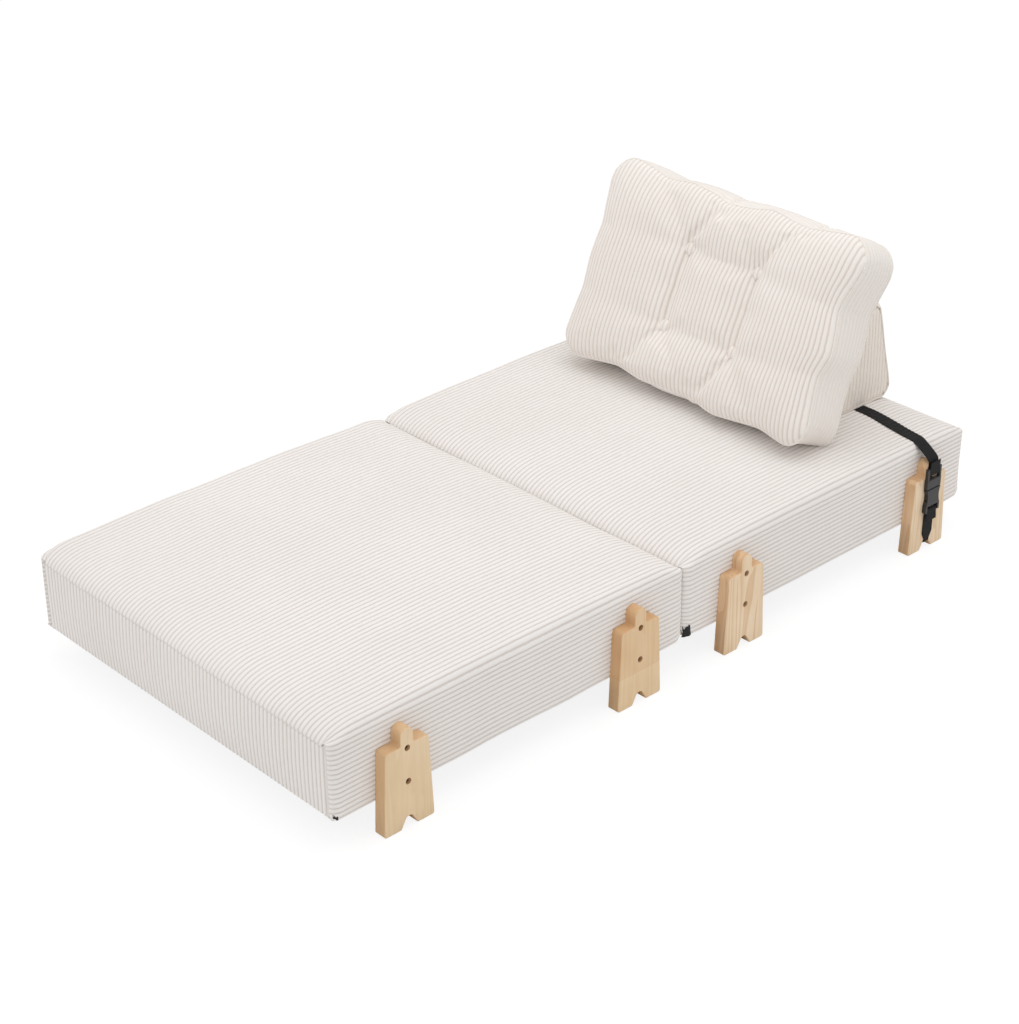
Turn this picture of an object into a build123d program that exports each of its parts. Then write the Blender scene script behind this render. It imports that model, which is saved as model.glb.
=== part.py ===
from build123d import *
from math import acos, atan2, cos, hypot, radians, sin, sqrt
import os

# Seat block, two of which make the bed
block_width = 1000
block_length = 958
block_height = 196
underside = 70
junction_gap = 4
crown = 8
edge_round = 26
corner_round = 14
fabric = 2.4
wadding = 5
seat_foam = 57
hem_width = 30
zip_hem = 6
bottom_cloth = 1.2

# Wooden frame inside a block
rail_thickness = 20
slat_thickness = 10
slat_width = 70
slat_count = 8

# Wooden foot plates
foot_thickness = 29
foot_setback = 161
sole_half = 64
shoulder_half = 55
shoulder_height = 191
shoulder_round = 9
head_radius = 16.5
head_height = 229.5
neck_round = 5
sole_round = 6
notch_half = 21
notch_arch_half = 10.5
notch_arch_start = 18
notch_height = 26
notch_round = 3
foot_edge_round = 2.5

# Foot bolts and the threaded inserts that they turn into
lower_bolt_height = 107
upper_bolt_height = 184
bolt_radius = 3
bolt_length = 42
bolt_head_radius = 5.5
bolt_head_height = 6
bolt_recess = 13
recess_radius = 7
socket_width = 5
socket_depth = 3
insert_radius = 5
insert_length = 16

# Zips under the blocks
tape_width = 23
tape_thickness = 0.9
coil_width = 4.6
coil_height = 1.4
zip_end_margin = 26
slider_length = 13
slider_width = 9
slider_plate = 1.4
slider_lip = 1.2
slider_start = 34
lug_thickness = 0.9
lug_length = 4
pull_pin_radius = 0.65
pull_pin_drop = 2.6
pull_width = 3.2
pull_thickness = 1.2
pull_length = 22
pull_grip_width = 6
pull_grip_share = 0.35

# Fabric hinge in the crease between the blocks
hinge_length = 900
hinge_height = 26

# Wedge bolster behind the cushion
wedge_length = 570
wedge_setback = 6
wedge_height = 266
wedge_rear_lean = 14
wedge_round = 26
wedge_heel_round = 36
wedge_end_round = 14
wedge_zip_rise = 62
wedge_zip_margin = 70

# Loose back cushion
cushion_width = 762
cushion_height = 474
gusset_width = 112
gusset_bulge = 6
cushion_puff = 34
cushion_lean = 24.3
cushion_setback = 469
cushion_seam_lift = 50
cushion_corner = 58
scallop = 13
top_dip = 206
side_dip = 80
dome_sections = 5
dome_sweep = 75
dome_reach = 200
dome_swell = 3.2
button_column = 107
button_row = 96
button_radius = 11
button_height = 7
button_round = 3
tuft_depth = 30
tuft_floor = 13
tuft_slope = 46
tuft_slope_share = 0.3
tuft_reach = 82
tuft_rim = 4
cord_radius = 0.9
piping_radius = 2.6

# Webbing strap and side-release buckles
web_width = 36
web_thickness = 1.6
strap_setback = 134
strap_drift_start = 300
buckle_middle = 535
buckle_width = 49
buckle_bar_radius = 1.7
ladder_bar_height = 200
ladder_top = 217
ladder_opening_top = 209
ladder_opening_bottom = 188
ladder_thickness = 3.2
ladder_side_thickness = 8
plug_shoulder = 165
plug_body_thickness = 9
socket_mouth = 163
socket_waist_half = 20
socket_bottom = 121
socket_thickness = 10.8
socket_foot = 103
socket_bar_height = 109
cavity_half = 17.5
cavity_thickness = 6.8
cavity_floor = 128
window_low = 133
window_high = 151
window_thickness = 5.6
tongue_half = 3
tongue_thickness = 5
tongue_end = 132
arm_outer = 16.5
arm_width = 3
arm_thickness = 4.6
lug_reach = 20
lug_low = 136
lug_high = 149
tail_rise = 34
web_bend = 6
over_head_bend = 16
over_head_rise = 11
strap_tuck_height = 16.5
strap_tuck_half = 9
strap_taper_start = 52
strap_taper_end = 26
strap_inner = 487
strap_anchor = 447

# Clearances and cutting overruns
clearance = 0.3
pin_clearance = 0.1
overrun = 1

# Places worked out from the sizes above
top = underside + block_height
block_centre = (junction_gap + block_length) / 2
rear_end = block_centre + block_length / 2
frame_inset = fabric + clearance + wadding + clearance
frame_half_x = block_width / 2 - frame_inset
frame_half_y = block_length / 2 - frame_inset
frame_bottom = underside + fabric + clearance
foam_bottom = top - fabric - clearance - seat_foam
slat_bottom = foam_bottom - clearance - slat_thickness
rail_top = slat_bottom
foot_face = block_width / 2 + foot_thickness
foot_offset = block_length / 2 - foot_setback
zip_y = -block_length / 2 + zip_hem + clearance + tape_width / 2
block_zip_length = block_width - 2 * zip_end_margin
slider_face = -coil_height - clearance - slider_plate
pull_pin_z = slider_face - pull_pin_drop
lean = radians(cushion_lean)
cushion_half_depth = gusset_width / 2
cushion_front = rear_end - cushion_setback
wedge_rear = rear_end - wedge_setback
strap_y = block_centre + foot_offset
strap_at_wedge = rear_end - strap_setback
bolt_heights = (lower_bolt_height, upper_bolt_height)
foot_sides = {"right": 1, "left": -1}
foot_ends = {"head": 1, "toe": -1}


def box(x_low, x_high, y_low, y_high, z_low, z_high):
    """Box between two corners."""
    size = (x_high - x_low, y_high - y_low, z_high - z_low)
    middle = ((x_low + x_high) / 2, (y_low + y_high) / 2, (z_low + z_high) / 2)
    return Pos(*middle) * Box(*size)


def rod_x(radius, x_low, x_high, y, z):
    """Round rod along X."""
    return Pos((x_low + x_high) / 2, y, z) * Rot(0, 90, 0) * Cylinder(radius, x_high - x_low)


def rod_y(radius, x, y_low, y_high, z):
    """Round rod along Y."""
    return Pos(x, (y_low + y_high) / 2, z) * Rot(90, 0, 0) * Cylinder(radius, y_high - y_low)


def save(name, shape):
    """Write one sub-part under its own name."""
    export_step(shape, f"parts/{name}.step")


def mirrored(shape):
    """The same piece on the other side of the bed."""
    return mirror(shape, about=Plane.YZ)


# Seat block


def crowned_outline(half, inset, low):
    """Half width by height of a block: upright sides, round top edges and a crowned top."""
    side = half - inset
    radius = edge_round - inset
    high = top - inset
    bend = radius * (1 - sqrt(0.5))
    with BuildSketch() as outline:
        with BuildLine():
            Line((-side, high - radius), (-side, low))
            Line((-side, low), (side, low))
            Line((side, low), (side, high - radius))
            ThreePointArc((side, high - radius), (side - bend, high - bend), (side - radius, high))
            ThreePointArc((side - radius, high), (0, high + crown), (radius - side, high))
            ThreePointArc((radius - side, high), (bend - side, high - bend), (-side, high - radius))
        make_face()
    return outline.sketch


def block_form(inset, low):
    """Crowned block drawn in on its top and sides, down to the height low."""
    across = extrude(Plane.XZ * crowned_outline(block_width / 2, inset, low), block_length, both=True)
    along = extrude(Plane.YZ * crowned_outline(block_length / 2, inset, low), block_width, both=True)
    plan = RectangleRounded(block_width - 2 * inset, block_length - 2 * inset, corner_round - inset)
    pillar = extrude(Pos(0, 0, low) * plan, top + crown)
    return across & along & pillar


def foot_outline():
    """Foot plate seen from the side: round head, shoulders, slanting sides and arched notch."""
    head_centre = head_height - head_radius
    with BuildSketch() as outline:
        with BuildLine():
            Polyline(
                (-head_radius, head_centre),
                (-head_radius, shoulder_height),
                (-shoulder_half, shoulder_height),
                (-sole_half, 0),
                (-notch_half, 0),
                (-notch_arch_half, notch_arch_start),
            )
            ThreePointArc(
                (-notch_arch_half, notch_arch_start), (0, notch_height), (notch_arch_half, notch_arch_start)
            )
            Polyline(
                (notch_arch_half, notch_arch_start),
                (notch_half, 0),
                (sole_half, 0),
                (shoulder_half, shoulder_height),
                (head_radius, shoulder_height),
                (head_radius, head_centre),
            )
            ThreePointArc((head_radius, head_centre), (0, head_height), (-head_radius, head_centre))
        make_face()
        corners = outline.vertices()
        rounds = {
            (sole_half, 0): sole_round,
            (notch_half, 0): notch_round,
            (shoulder_half, shoulder_height): shoulder_round,
            (head_radius, shoulder_height): neck_round,
        }
        for (across, height), radius in rounds.items():
            spots = [Vector(side * across, height) for side in (-1, 1)]
            chosen = [c for c in corners if min((Vector(*c) - s).length for s in spots) < clearance]
            fillet(chosen, radius)
            corners = outline.vertices()
    return outline.sketch


def foot_plate():
    """Foot plate on the right side, centred on y = 0, with its two recessed bolt holes."""
    plate = extrude(Plane.YZ.offset(block_width / 2) * foot_outline(), foot_thickness)
    plate = fillet(plate.faces().sort_by(Axis.X)[-1].edges(), foot_edge_round)
    for height in bolt_heights:
        start = block_width / 2 - overrun
        plate -= rod_x(bolt_radius + clearance, start, foot_face, 0, height)
        plate -= rod_x(recess_radius, foot_face - bolt_recess, foot_face + overrun, 0, height)
    return plate


def foot_bolt(height):
    """Socket head bolt through a right foot plate into the side rail."""
    seat = foot_face - bolt_recess
    bolt = rod_x(bolt_radius, seat - bolt_length, seat, 0, height)
    bolt += rod_x(bolt_head_radius, seat, seat + bolt_head_height, 0, height)
    hexagon = RegularPolygon(socket_width / 2, 6, major_radius=False)
    face = Plane.YZ.offset(seat + bolt_head_height - socket_depth) * (Pos(0, height) * hexagon)
    return bolt - extrude(face, socket_depth + overrun)


def foot_insert(height):
    """Threaded insert in the side rail, drawn as a sleeve."""
    sleeve = rod_x(insert_radius, frame_half_x - insert_length, frame_half_x, 0, height)
    bore = bolt_radius + pin_clearance
    return sleeve - rod_x(bore, frame_half_x - insert_length - overrun, frame_half_x + overrun, 0, height)


def at_feet(piece):
    """Copies of a right-hand piece at all four feet of a block."""
    right = [Pos(0, end * foot_offset, 0) * piece for end in foot_ends.values()]
    return right + [mirrored(copy) for copy in right]


def at_bolts(make_piece):
    """Copies of a bolt or insert at every bolt hole of a block, as one group."""
    return [copy for height in bolt_heights for copy in at_feet(make_piece(height))]


def bolt_holes(radius, inner, outer):
    """Round cuts at every bolt hole of a block, between two distances from its middle."""
    return at_bolts(lambda height: rod_x(radius, inner, outer, 0, height))


def cover():
    """Corduroy cover: a thin crowned shell with a hem turned in under the block."""
    shell = block_form(0, underside) - block_form(fabric, underside + fabric)
    half_x = block_width / 2 - hem_width
    half_y = block_length / 2
    opening_low = underside - overrun
    opening_high = underside + fabric + overrun
    shell -= box(-half_x, half_x, zip_hem - half_y, half_y - hem_width, opening_low, opening_high)
    zip_half = block_zip_length / 2 + clearance
    zip_inner = hem_width - half_y
    shell -= box(-zip_half, zip_half, zip_hem - half_y, zip_inner, opening_low, opening_high)
    inner = block_width / 2 - fabric - overrun
    for hole in bolt_holes(bolt_radius + clearance, inner, block_width / 2 + overrun):
        shell -= hole
    return shell


def base_cloth():
    """Black cloth that closes the underside inside the hem."""
    half_x = block_width / 2 - hem_width - clearance
    half_y = block_length / 2 - hem_width - clearance
    return box(-half_x, half_x, -half_y, half_y, underside, underside + bottom_cloth)


def zip_chain(length):
    """Closed zip along X with its outside facing down: tape with its row of coils."""
    half = length / 2
    half_tape = tape_width / 2
    tape = box(-half, half, -half_tape, half_tape - clearance, 0, tape_thickness)
    half_coil = coil_width / 2
    return tape + box(-half, half, -half_coil, half_coil, -coil_height, 0)


def zip_slider():
    """Slider on the zip: a plate, two lips beside the coil and lugs that hold the pull's pin."""
    half_x = slider_length / 2
    half_y = slider_width / 2
    slider = box(-half_x, half_x, -half_y, half_y, slider_face, slider_face + slider_plate)
    lip = box(-half_x, half_x, half_y - slider_lip, half_y, slider_face, -clearance)
    lug_inner = pull_width / 2 + clearance
    lug_outer = lug_inner + lug_thickness
    lug_low = pull_pin_z - pull_pin_radius - lug_thickness
    lug = box(-lug_length / 2, lug_length / 2, lug_inner, lug_outer, lug_low, slider_face)
    for piece in (lip, lug):
        slider += piece
        slider += mirror(piece, about=Plane.XZ)
    return slider + rod_y(pull_pin_radius, 0, -lug_outer, lug_outer, pull_pin_z)


def zip_pull():
    """Pull folded flat along the zip, towards its middle, on the slider's pin."""
    half = pull_width / 2
    half_thick = pull_thickness / 2
    low = pull_pin_z - half_thick
    high = pull_pin_z + half_thick
    pull = rod_y(pull_pin_radius + pull_thickness, 0, -half, half, pull_pin_z)
    pull += box(-pull_length, 0, -half, half, low, high)
    grip_half = pull_grip_width / 2
    pull += box(-pull_length, -pull_length * pull_grip_share, -grip_half, grip_half, low, high)
    return pull - rod_y(pull_pin_radius + pin_clearance, 0, -half - overrun, half + overrun, pull_pin_z)


def foam_pad():
    """Crowned foam that carries the sitter, on top of the slats."""
    return block_form(fabric + clearance, foam_bottom)


def side_wadding():
    """Wadding band between the frame and the cover."""
    inset = fabric + clearance
    plan = RectangleRounded(block_width - 2 * inset, block_length - 2 * inset, corner_round - inset)
    inner = inset + wadding
    plan -= Rectangle(block_width - 2 * inner, block_length - 2 * inner)
    band = extrude(Pos(0, 0, frame_bottom) * plan, foam_bottom - clearance - frame_bottom)
    start = block_width / 2 - inner - overrun
    for hole in bolt_holes(bolt_radius + clearance, start, block_width / 2):
        band -= hole
    return band


def side_rails():
    """Two long rails, bored for the threaded inserts."""
    inner = frame_half_x - rail_thickness
    right = box(inner, frame_half_x, -frame_half_y, frame_half_y, frame_bottom, rail_top)
    for end in foot_ends.values():
        for height in bolt_heights:
            spot = end * foot_offset
            right -= rod_x(insert_radius, frame_half_x - insert_length, frame_half_x + overrun, spot, height)
            right -= rod_x(bolt_radius + clearance, inner - overrun, frame_half_x, spot, height)
    return [right, mirrored(right)]


def end_rails():
    """Two cross rails between the ends of the long rails."""
    half_x = frame_half_x - rail_thickness
    near = box(-half_x, half_x, frame_half_y - rail_thickness, frame_half_y, frame_bottom, rail_top)
    return [near, mirror(near, about=Plane.XZ)]


def centre_rail():
    """Middle rail under the slats."""
    half_y = frame_half_y - rail_thickness
    return box(-rail_thickness / 2, rail_thickness / 2, -half_y, half_y, frame_bottom, rail_top)


def slats():
    """Slats across the rails, evenly spaced from end to end."""
    first = slat_width / 2 - frame_half_y
    step = -2 * first / (slat_count - 1)
    boards = []
    for number in range(slat_count):
        y = first + number * step
        low = y - slat_width / 2
        high = y + slat_width / 2
        boards.append(box(-frame_half_x, frame_half_x, low, high, slat_bottom, slat_bottom + slat_thickness))
    return boards


def hinge_tape():
    """Half of the fabric hinge: a band sewn to the rear block's face in the crease."""
    inner = clearance / 2
    high = top - edge_round
    low = high - hinge_height
    return box(-hinge_length / 2, hinge_length / 2, inner, junction_gap / 2, low, high)


def save_block(prefix, y):
    """One whole block with its centre at y."""
    place = Pos(0, y, 0)
    zip_place = Pos(0, zip_y, underside)
    slider_place = Pos(block_zip_length / 2 - slider_start, zip_y, underside)
    single = {
        "cover": cover(),
        "base_cloth": base_cloth(),
        "zip": zip_place * zip_chain(block_zip_length),
        "zip_slider": slider_place * zip_slider(),
        "zip_pull": slider_place * zip_pull(),
        "foam_pad": foam_pad(),
        "side_wadding": side_wadding(),
        "centre_rail": centre_rail(),
    }
    for name, shape in single.items():
        save(f"{prefix}_{name}", place * shape)
    groups = {
        "side_rails": side_rails(),
        "end_rails": end_rails(),
        "slats": slats(),
        "foot_bolts": at_bolts(foot_bolt),
        "foot_inserts": at_bolts(foot_insert),
    }
    for name, pieces in groups.items():
        save(f"{prefix}_{name}", Compound(children=[place * piece for piece in pieces]))
    plate = foot_plate()
    for end_name, end in foot_ends.items():
        for side_name, side in foot_sides.items():
            foot = plate if side == 1 else mirrored(plate)
            save(f"{prefix}_foot_{end_name}_{side_name}", Pos(0, y + end * foot_offset, 0) * foot)


# Backrest: wedge and cushion


def seat_form(lift):
    """Rear block's top grown by lift, for cutting what rests on it."""
    return Pos(0, block_centre, 0) * block_form(-lift, underside)


def cushion_side_point(up, out):
    """Point in the side view, y then z, from a height on the cushion and a distance out of its front."""
    y = cushion_front + (up + cushion_height / 2) * sin(lean) - (out - cushion_half_depth) * cos(lean)
    z = top + cushion_seam_lift + (up + cushion_height / 2) * cos(lean) + (out - cushion_half_depth) * sin(lean)
    return y, z


def wedge_outline():
    """Wedge from the side, y along and z up: front along the cushion's back, steeper rear, round top."""
    low = top
    high = top + wedge_height
    back_y, back_z = cushion_side_point(0, -cushion_half_depth - cushion_puff - dome_swell - clearance)
    front = [(back_y + (z - back_z) * sin(lean) / cos(lean), z) for z in (low, high)]
    rear_slope = sin(radians(wedge_rear_lean)) / cos(radians(wedge_rear_lean))
    rear = [(wedge_rear - (z - top) * rear_slope, z) for z in (high, low)]
    outline = make_face(Polyline(*front, *rear, close=True))
    corners = outline.vertices().sort_by(Axis.Y)
    outline = fillet(corners[-2:], wedge_round)
    heel = outline.vertices().sort_by(Axis.X)[-1]
    return fillet(heel, wedge_heel_round)


def wedge_form(inset):
    """Whole wedge drawn in on every side, resting on the seat."""
    outline = offset(wedge_outline(), -inset) if inset else wedge_outline()
    body = extrude(Plane.YZ * outline, wedge_length / 2 - inset, both=True)
    ends = body.faces().sort_by(Axis.X)
    body = fillet(ends[0].edges() + ends[-1].edges(), wedge_end_round - inset)
    return body - seat_form(clearance + inset)


def strap_band(width):
    """Plan of the strap from side to side: straight under the wedge, drifting to the feet."""
    half = width / 2
    far = foot_face + buckle_width
    drift_end = block_width / 2 - edge_round
    route = [
        (-far, strap_y),
        (-drift_end, strap_y),
        (-strap_drift_start, strap_at_wedge),
        (strap_drift_start, strap_at_wedge),
        (drift_end, strap_y),
        (far, strap_y),
    ]
    upper = [(x, y + half) for x, y in route]
    lower = [(x, y - half) for x, y in reversed(route)]
    return extrude(make_face(Polyline(*upper, *lower, close=True)), top + block_height)


def strap_over_seat(lift, thickness):
    """Layer that lies on the seat under and beside the wedge, out to the round side edges."""
    half = block_width / 2 - edge_round
    layer = seat_form(lift + thickness) - seat_form(lift)
    reach = box(-half, half, block_centre, wedge_rear, top - crown, top + block_height)
    return layer & reach


def wedge_zip_frame():
    """Plane on the wedge's rear face where its zip lies, facing inwards."""
    rear = radians(wedge_rear_lean)
    y = wedge_rear - wedge_zip_rise * sin(rear) / cos(rear)
    return Plane((0, y, top + wedge_zip_rise), x_dir=(1, 0, 0), z_dir=(0, -cos(rear), -sin(rear)))


def wedge_zip_slot():
    """Cut through the cover for the zip's tape."""
    half = wedge_length / 2 - wedge_zip_margin + clearance
    half_tape = tape_width / 2 + clearance
    return wedge_zip_frame().location * box(-half, half, -half_tape, half_tape, -overrun, fabric + overrun)


def wedge_cover():
    """Corduroy shell of the wedge, with a slot in its rear face for the zip."""
    shell = wedge_form(0) - wedge_form(fabric)
    shell -= strap_over_seat(0, web_thickness + 2 * clearance) & strap_band(web_width + 2 * clearance)
    return shell - wedge_zip_slot()


def wedge_foam():
    """Foam inside the wedge, hollowed under the strap."""
    foam = wedge_form(fabric + clearance)
    room = web_thickness + fabric + 2 * clearance
    return foam - (strap_over_seat(0, room) & strap_band(web_width + 2 * fabric))


def save_wedge():
    """The wedge with its foam and its rear zip."""
    zip_place = wedge_zip_frame().location
    zip_length = wedge_length - 2 * wedge_zip_margin
    slider_place = zip_place * Pos(zip_length / 2 - slider_start, 0, 0)
    save("wedge_cover", wedge_cover())
    save("wedge_foam", wedge_foam())
    save("wedge_zip", zip_place * zip_chain(zip_length))
    save("wedge_zip_slider", slider_place * zip_slider())
    save("wedge_zip_pull", slider_place * zip_pull())


def scallops(stops, across, depth):
    """Row of outward arcs between stops along one edge that lies at a distance across."""
    rows = []
    for low, high in zip(stops, stops[1:]):
        rows.append(((low, across), ((low + high) / 2, across + depth), (high, across)))
    return rows


def cushion_outline(inset):
    """Scalloped outline of the cushion with round corners, scaled in by an inset."""
    half_x = cushion_width / 2
    half_y = cushion_height / 2
    bend = cushion_corner * (1 - sqrt(0.5))
    along = [cushion_corner - half_x, -top_dip, 0, top_dip, half_x - cushion_corner]
    upright = [cushion_corner - half_y, -side_dip, side_dip, half_y - cushion_corner]
    arcs = []
    for side in (1, -1):
        for arc in scallops(along, half_y, scallop):
            arcs.append([(x, side * y) for x, y in arc])
        for arc in scallops(upright, half_x, scallop):
            arcs.append([(side * x, y) for y, x in arc])
        for end in (1, -1):
            corner = [
                (half_x - cushion_corner, half_y),
                (half_x - bend, half_y - bend),
                (half_x, half_y - cushion_corner),
            ]
            arcs.append([(end * side * x, side * y) for x, y in corner])
    scale_x = 1 - inset / half_x
    scale_y = 1 - inset / half_y
    edges = [ThreePointArc(*[(x * scale_x, y * scale_y) for x, y in arc]) for arc in arcs]
    return make_face(edges)


def cushion_dome(inset):
    """Crowned front half of the cushion, from the seam plane outwards."""
    sections = []
    for number in range(dome_sections):
        angle = radians(dome_sweep) * number / (dome_sections - 1)
        height = cushion_half_depth + (cushion_puff - inset) * sin(angle) / sin(radians(dome_sweep))
        sections.append(Pos(0, 0, height) * cushion_outline(inset + dome_reach * (1 - cos(angle))))
    return loft(sections)


def cushion_band(inset):
    """Middle of the cushion between the two seams, bulging a little."""
    heights = (-cushion_half_depth, 0, cushion_half_depth)
    insets = (inset, inset - gusset_bulge, inset)
    return loft([Pos(0, 0, height) * cushion_outline(step) for height, step in zip(heights, insets)])


def button_spots():
    """Places of the four buttons on the cushion's front."""
    return [(x, y) for x in (-button_column, button_column) for y in (-button_row, button_row)]


def tuft_cut(inset):
    """Round dent that a button draws into the front, with a flat floor and a flaring side."""
    crest = cushion_half_depth + cushion_puff
    floor = crest - tuft_depth - inset
    rim = crest + tuft_rim
    middle = floor + (rim - floor) * (1 - tuft_slope_share)
    side = ThreePointArc((tuft_floor, floor), (tuft_slope, middle), (tuft_reach, rim))
    lines = Polyline((tuft_reach, rim), (tuft_reach, rim + cushion_puff), (0, rim + cushion_puff), (0, floor))
    base = Line((0, floor), (tuft_floor, floor))
    return revolve(Plane.XZ * make_face([side, *lines.edges(), base]), Axis.Z)


def tufted_dome(inset):
    """Front half with its four dents."""
    dome = cushion_dome(inset)
    for x, y in button_spots():
        dome -= Pos(x, y, 0) * tuft_cut(inset)
    return dome


def cord_holes():
    """Cuts that let the tuft cords through."""
    long = cushion_half_depth + cushion_puff
    return [Pos(x, y, 0) * Cylinder(cord_radius + clearance, 2 * long) for x, y in button_spots()]


def cushion_panel():
    """Front panel of the cushion: a tufted shell."""
    panel = tufted_dome(0) - tufted_dome(fabric)
    for hole in cord_holes():
        panel -= hole
    return panel


def cushion_piping():
    """Piping round the front seam."""
    ring = offset(cushion_outline(0), 2 * piping_radius) - cushion_outline(0)
    low = cushion_half_depth - piping_radius
    return extrude(Pos(0, 0, low) * ring, 2 * piping_radius) - cushion_band(0)


def cushion_filling():
    """Filling of the cushion, tufted back and front."""
    inset = fabric + clearance
    front = tufted_dome(inset)
    filling = cushion_band(inset) + front + mirror(front, about=Plane.XY)
    for hole in cord_holes():
        filling -= hole
    return filling


def cushion_buttons():
    """Covered buttons on both faces, each seated at the floor of its dent."""
    floor = cushion_half_depth + cushion_puff - tuft_depth
    disc = Pos(0, 0, floor + button_height / 2) * Cylinder(button_radius, button_height)
    disc = fillet(disc.edges().sort_by(Axis.Z)[-1], button_round)
    front = [Pos(x, y, 0) * disc for x, y in button_spots()]
    return front + [mirror(button, about=Plane.XY) for button in front]


def tuft_cords():
    """Cords that tie each front button to the one behind it."""
    floor = cushion_half_depth + cushion_puff - tuft_depth
    return [Pos(x, y, 0) * Cylinder(cord_radius, 2 * floor) for x, y in button_spots()]


def save_cushion():
    """The loose cushion in its leaning place, flattened where it sits."""
    middle_y, middle_z = cushion_side_point(0, 0)
    frame = Plane((0, middle_y, middle_z), x_dir=(1, 0, 0), z_dir=(0, -cos(lean), sin(lean)))
    place = frame.location
    seat = seat_form(clearance)
    panel = cushion_panel()
    piping = cushion_piping()
    save("cushion_front_panel", place * panel - seat)
    save("cushion_back_panel", place * mirror(panel, about=Plane.XY) - seat)
    save("cushion_front_piping", place * piping - seat)
    save("cushion_back_piping", place * mirror(piping, about=Plane.XY) - seat)
    save("cushion_gusset", place * (cushion_band(0) - cushion_band(fabric)) - seat)
    save("cushion_filling", place * cushion_filling() - seat_form(2 * clearance + fabric))
    save("cushion_buttons", Compound(children=[place * button for button in cushion_buttons()]))
    save("cushion_tuft_cords", Compound(children=[place * cord for cord in tuft_cords()]))


# Straps and buckles


def web_along(path, width):
    """Webbing of one width swept along a path in the plane across the bed."""
    start = Plane(path @ 0, x_dir=(0, 1, 0), z_dir=path % 0)
    return sweep(start * Rectangle(width, web_thickness), path=path)


def strap_down_side():
    """Strap from the seat's round side edge down to the buckle, round its ladder bar and up as a tail."""
    lift = clearance + web_thickness / 2
    edge_x = block_width / 2 - edge_round
    edge_z = top - edge_round
    radius = edge_round + lift
    bar_loop = buckle_bar_radius + clearance + web_thickness / 2
    inner_x = buckle_middle - bar_loop
    outer_x = buckle_middle + bar_loop
    bend_z = head_height + over_head_rise
    reach = hypot(inner_x - edge_x, bend_z - edge_z)
    leave = atan2(bend_z - edge_z, inner_x - edge_x) + acos(radius / reach)
    half_way = (leave + radians(90)) / 2
    start = (edge_x, edge_z + radius)
    middle = (edge_x + radius * cos(half_way), edge_z + radius * sin(half_way))
    off = (edge_x + radius * cos(leave), edge_z + radius * sin(leave))
    with BuildLine(Plane.XZ) as path:
        ThreePointArc(start, middle, off)
        FilletPolyline(off, (inner_x, bend_z), (inner_x, ladder_bar_height), radius=over_head_bend)
        ThreePointArc(
            (inner_x, ladder_bar_height),
            (buckle_middle, ladder_bar_height - bar_loop),
            (outer_x, ladder_bar_height),
        )
        Line((outer_x, ladder_bar_height), (outer_x, ladder_bar_height + tail_rise))
    return Pos(0, strap_y, 0) * web_along(path.line, web_width)


def upper_strap():
    """One webbing from buckle to buckle, under the wedge."""
    side = strap_down_side()
    over = strap_over_seat(clearance, web_thickness) & strap_band(web_width)
    return over + side + mirrored(side)


def lower_strap():
    """Short webbing on the right: round the socket's bar, down the foot, through its notch and up."""
    half_web = web_thickness / 2
    bar_loop = buckle_bar_radius + clearance + half_web
    inner_x = buckle_middle - bar_loop
    outer_x = buckle_middle + bar_loop
    face_x = foot_face + 2 * clearance + half_web
    lap_x = face_x + web_thickness + clearance
    join_z = socket_foot - web_bend
    lap_z = join_z - 2 * web_bend
    under_z = underside - clearance - half_web
    with BuildLine(Plane.XZ) as path:
        FilletPolyline(
            (lap_x, lap_z - 2 * web_bend),
            (lap_x, lap_z),
            (outer_x, join_z),
            (outer_x, socket_bar_height),
            radius=web_bend / 2,
        )
        ThreePointArc(
            (outer_x, socket_bar_height),
            (buckle_middle, socket_bar_height + bar_loop),
            (inner_x, socket_bar_height),
        )
        FilletPolyline(
            (inner_x, socket_bar_height),
            (inner_x, join_z),
            (face_x, lap_z + web_bend),
            (face_x, strap_tuck_height),
            (strap_inner, strap_tuck_height),
            (strap_inner, under_z),
            (strap_anchor, under_z),
            radius=web_bend / 2,
        )
    strap = web_along(path.line, web_width)
    half = web_width / 2
    tuck = [(strap_tuck_half, 0), (strap_tuck_half, strap_taper_end), (half, strap_taper_start)]
    right = tuck + [(half, top)]
    left = [(-y, z) for y, z in reversed(right)]
    shape = extrude(Plane.YZ * make_face(Polyline(*right, *left, close=True)), foot_face + buckle_width)
    return Pos(0, strap_y, 0) * (strap & shape)


def plug():
    """Plug half: ladder frame with its bar, a shoulder and the tongue."""
    half = buckle_width / 2
    inner = web_width / 2 + 2 * clearance
    thin = ladder_thickness / 2
    thick = ladder_side_thickness / 2
    body = plug_body_thickness / 2
    x = buckle_middle
    shape = box(x - body, x + body, -half, half, plug_shoulder, ladder_opening_bottom)
    side = box(x - thick, x + thick, inner, half, ladder_opening_bottom, ladder_top)
    shape += side
    shape += mirror(side, about=Plane.XZ)
    shape += box(x - thin, x + thin, -half, half, ladder_opening_top, ladder_top)
    shape += rod_y(buckle_bar_radius, x, -inner, inner, ladder_bar_height)
    tongue = tongue_thickness / 2
    shape += box(x - tongue, x + tongue, -tongue_half, tongue_half, tongue_end, plug_shoulder)
    return Pos(0, strap_y, 0) * shape


def plug_arms():
    """Two springy arms under the plug's shoulder, each with a catch that stands out."""
    outline = [
        (arm_outer - arm_width, plug_shoulder),
        (arm_outer, plug_shoulder),
        (arm_outer, lug_high),
        (lug_reach, lug_high),
        (lug_reach, lug_low),
        (arm_outer, tongue_end),
        (arm_outer - arm_width, tongue_end),
    ]
    face = make_face(Polyline(*outline, close=True))
    low = buckle_middle - arm_thickness / 2
    arm = Pos(0, strap_y, 0) * extrude(Plane.YZ.offset(low) * face, arm_thickness)
    return [arm, mirror(arm, about=Plane.XZ.offset(-strap_y))]


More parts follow.
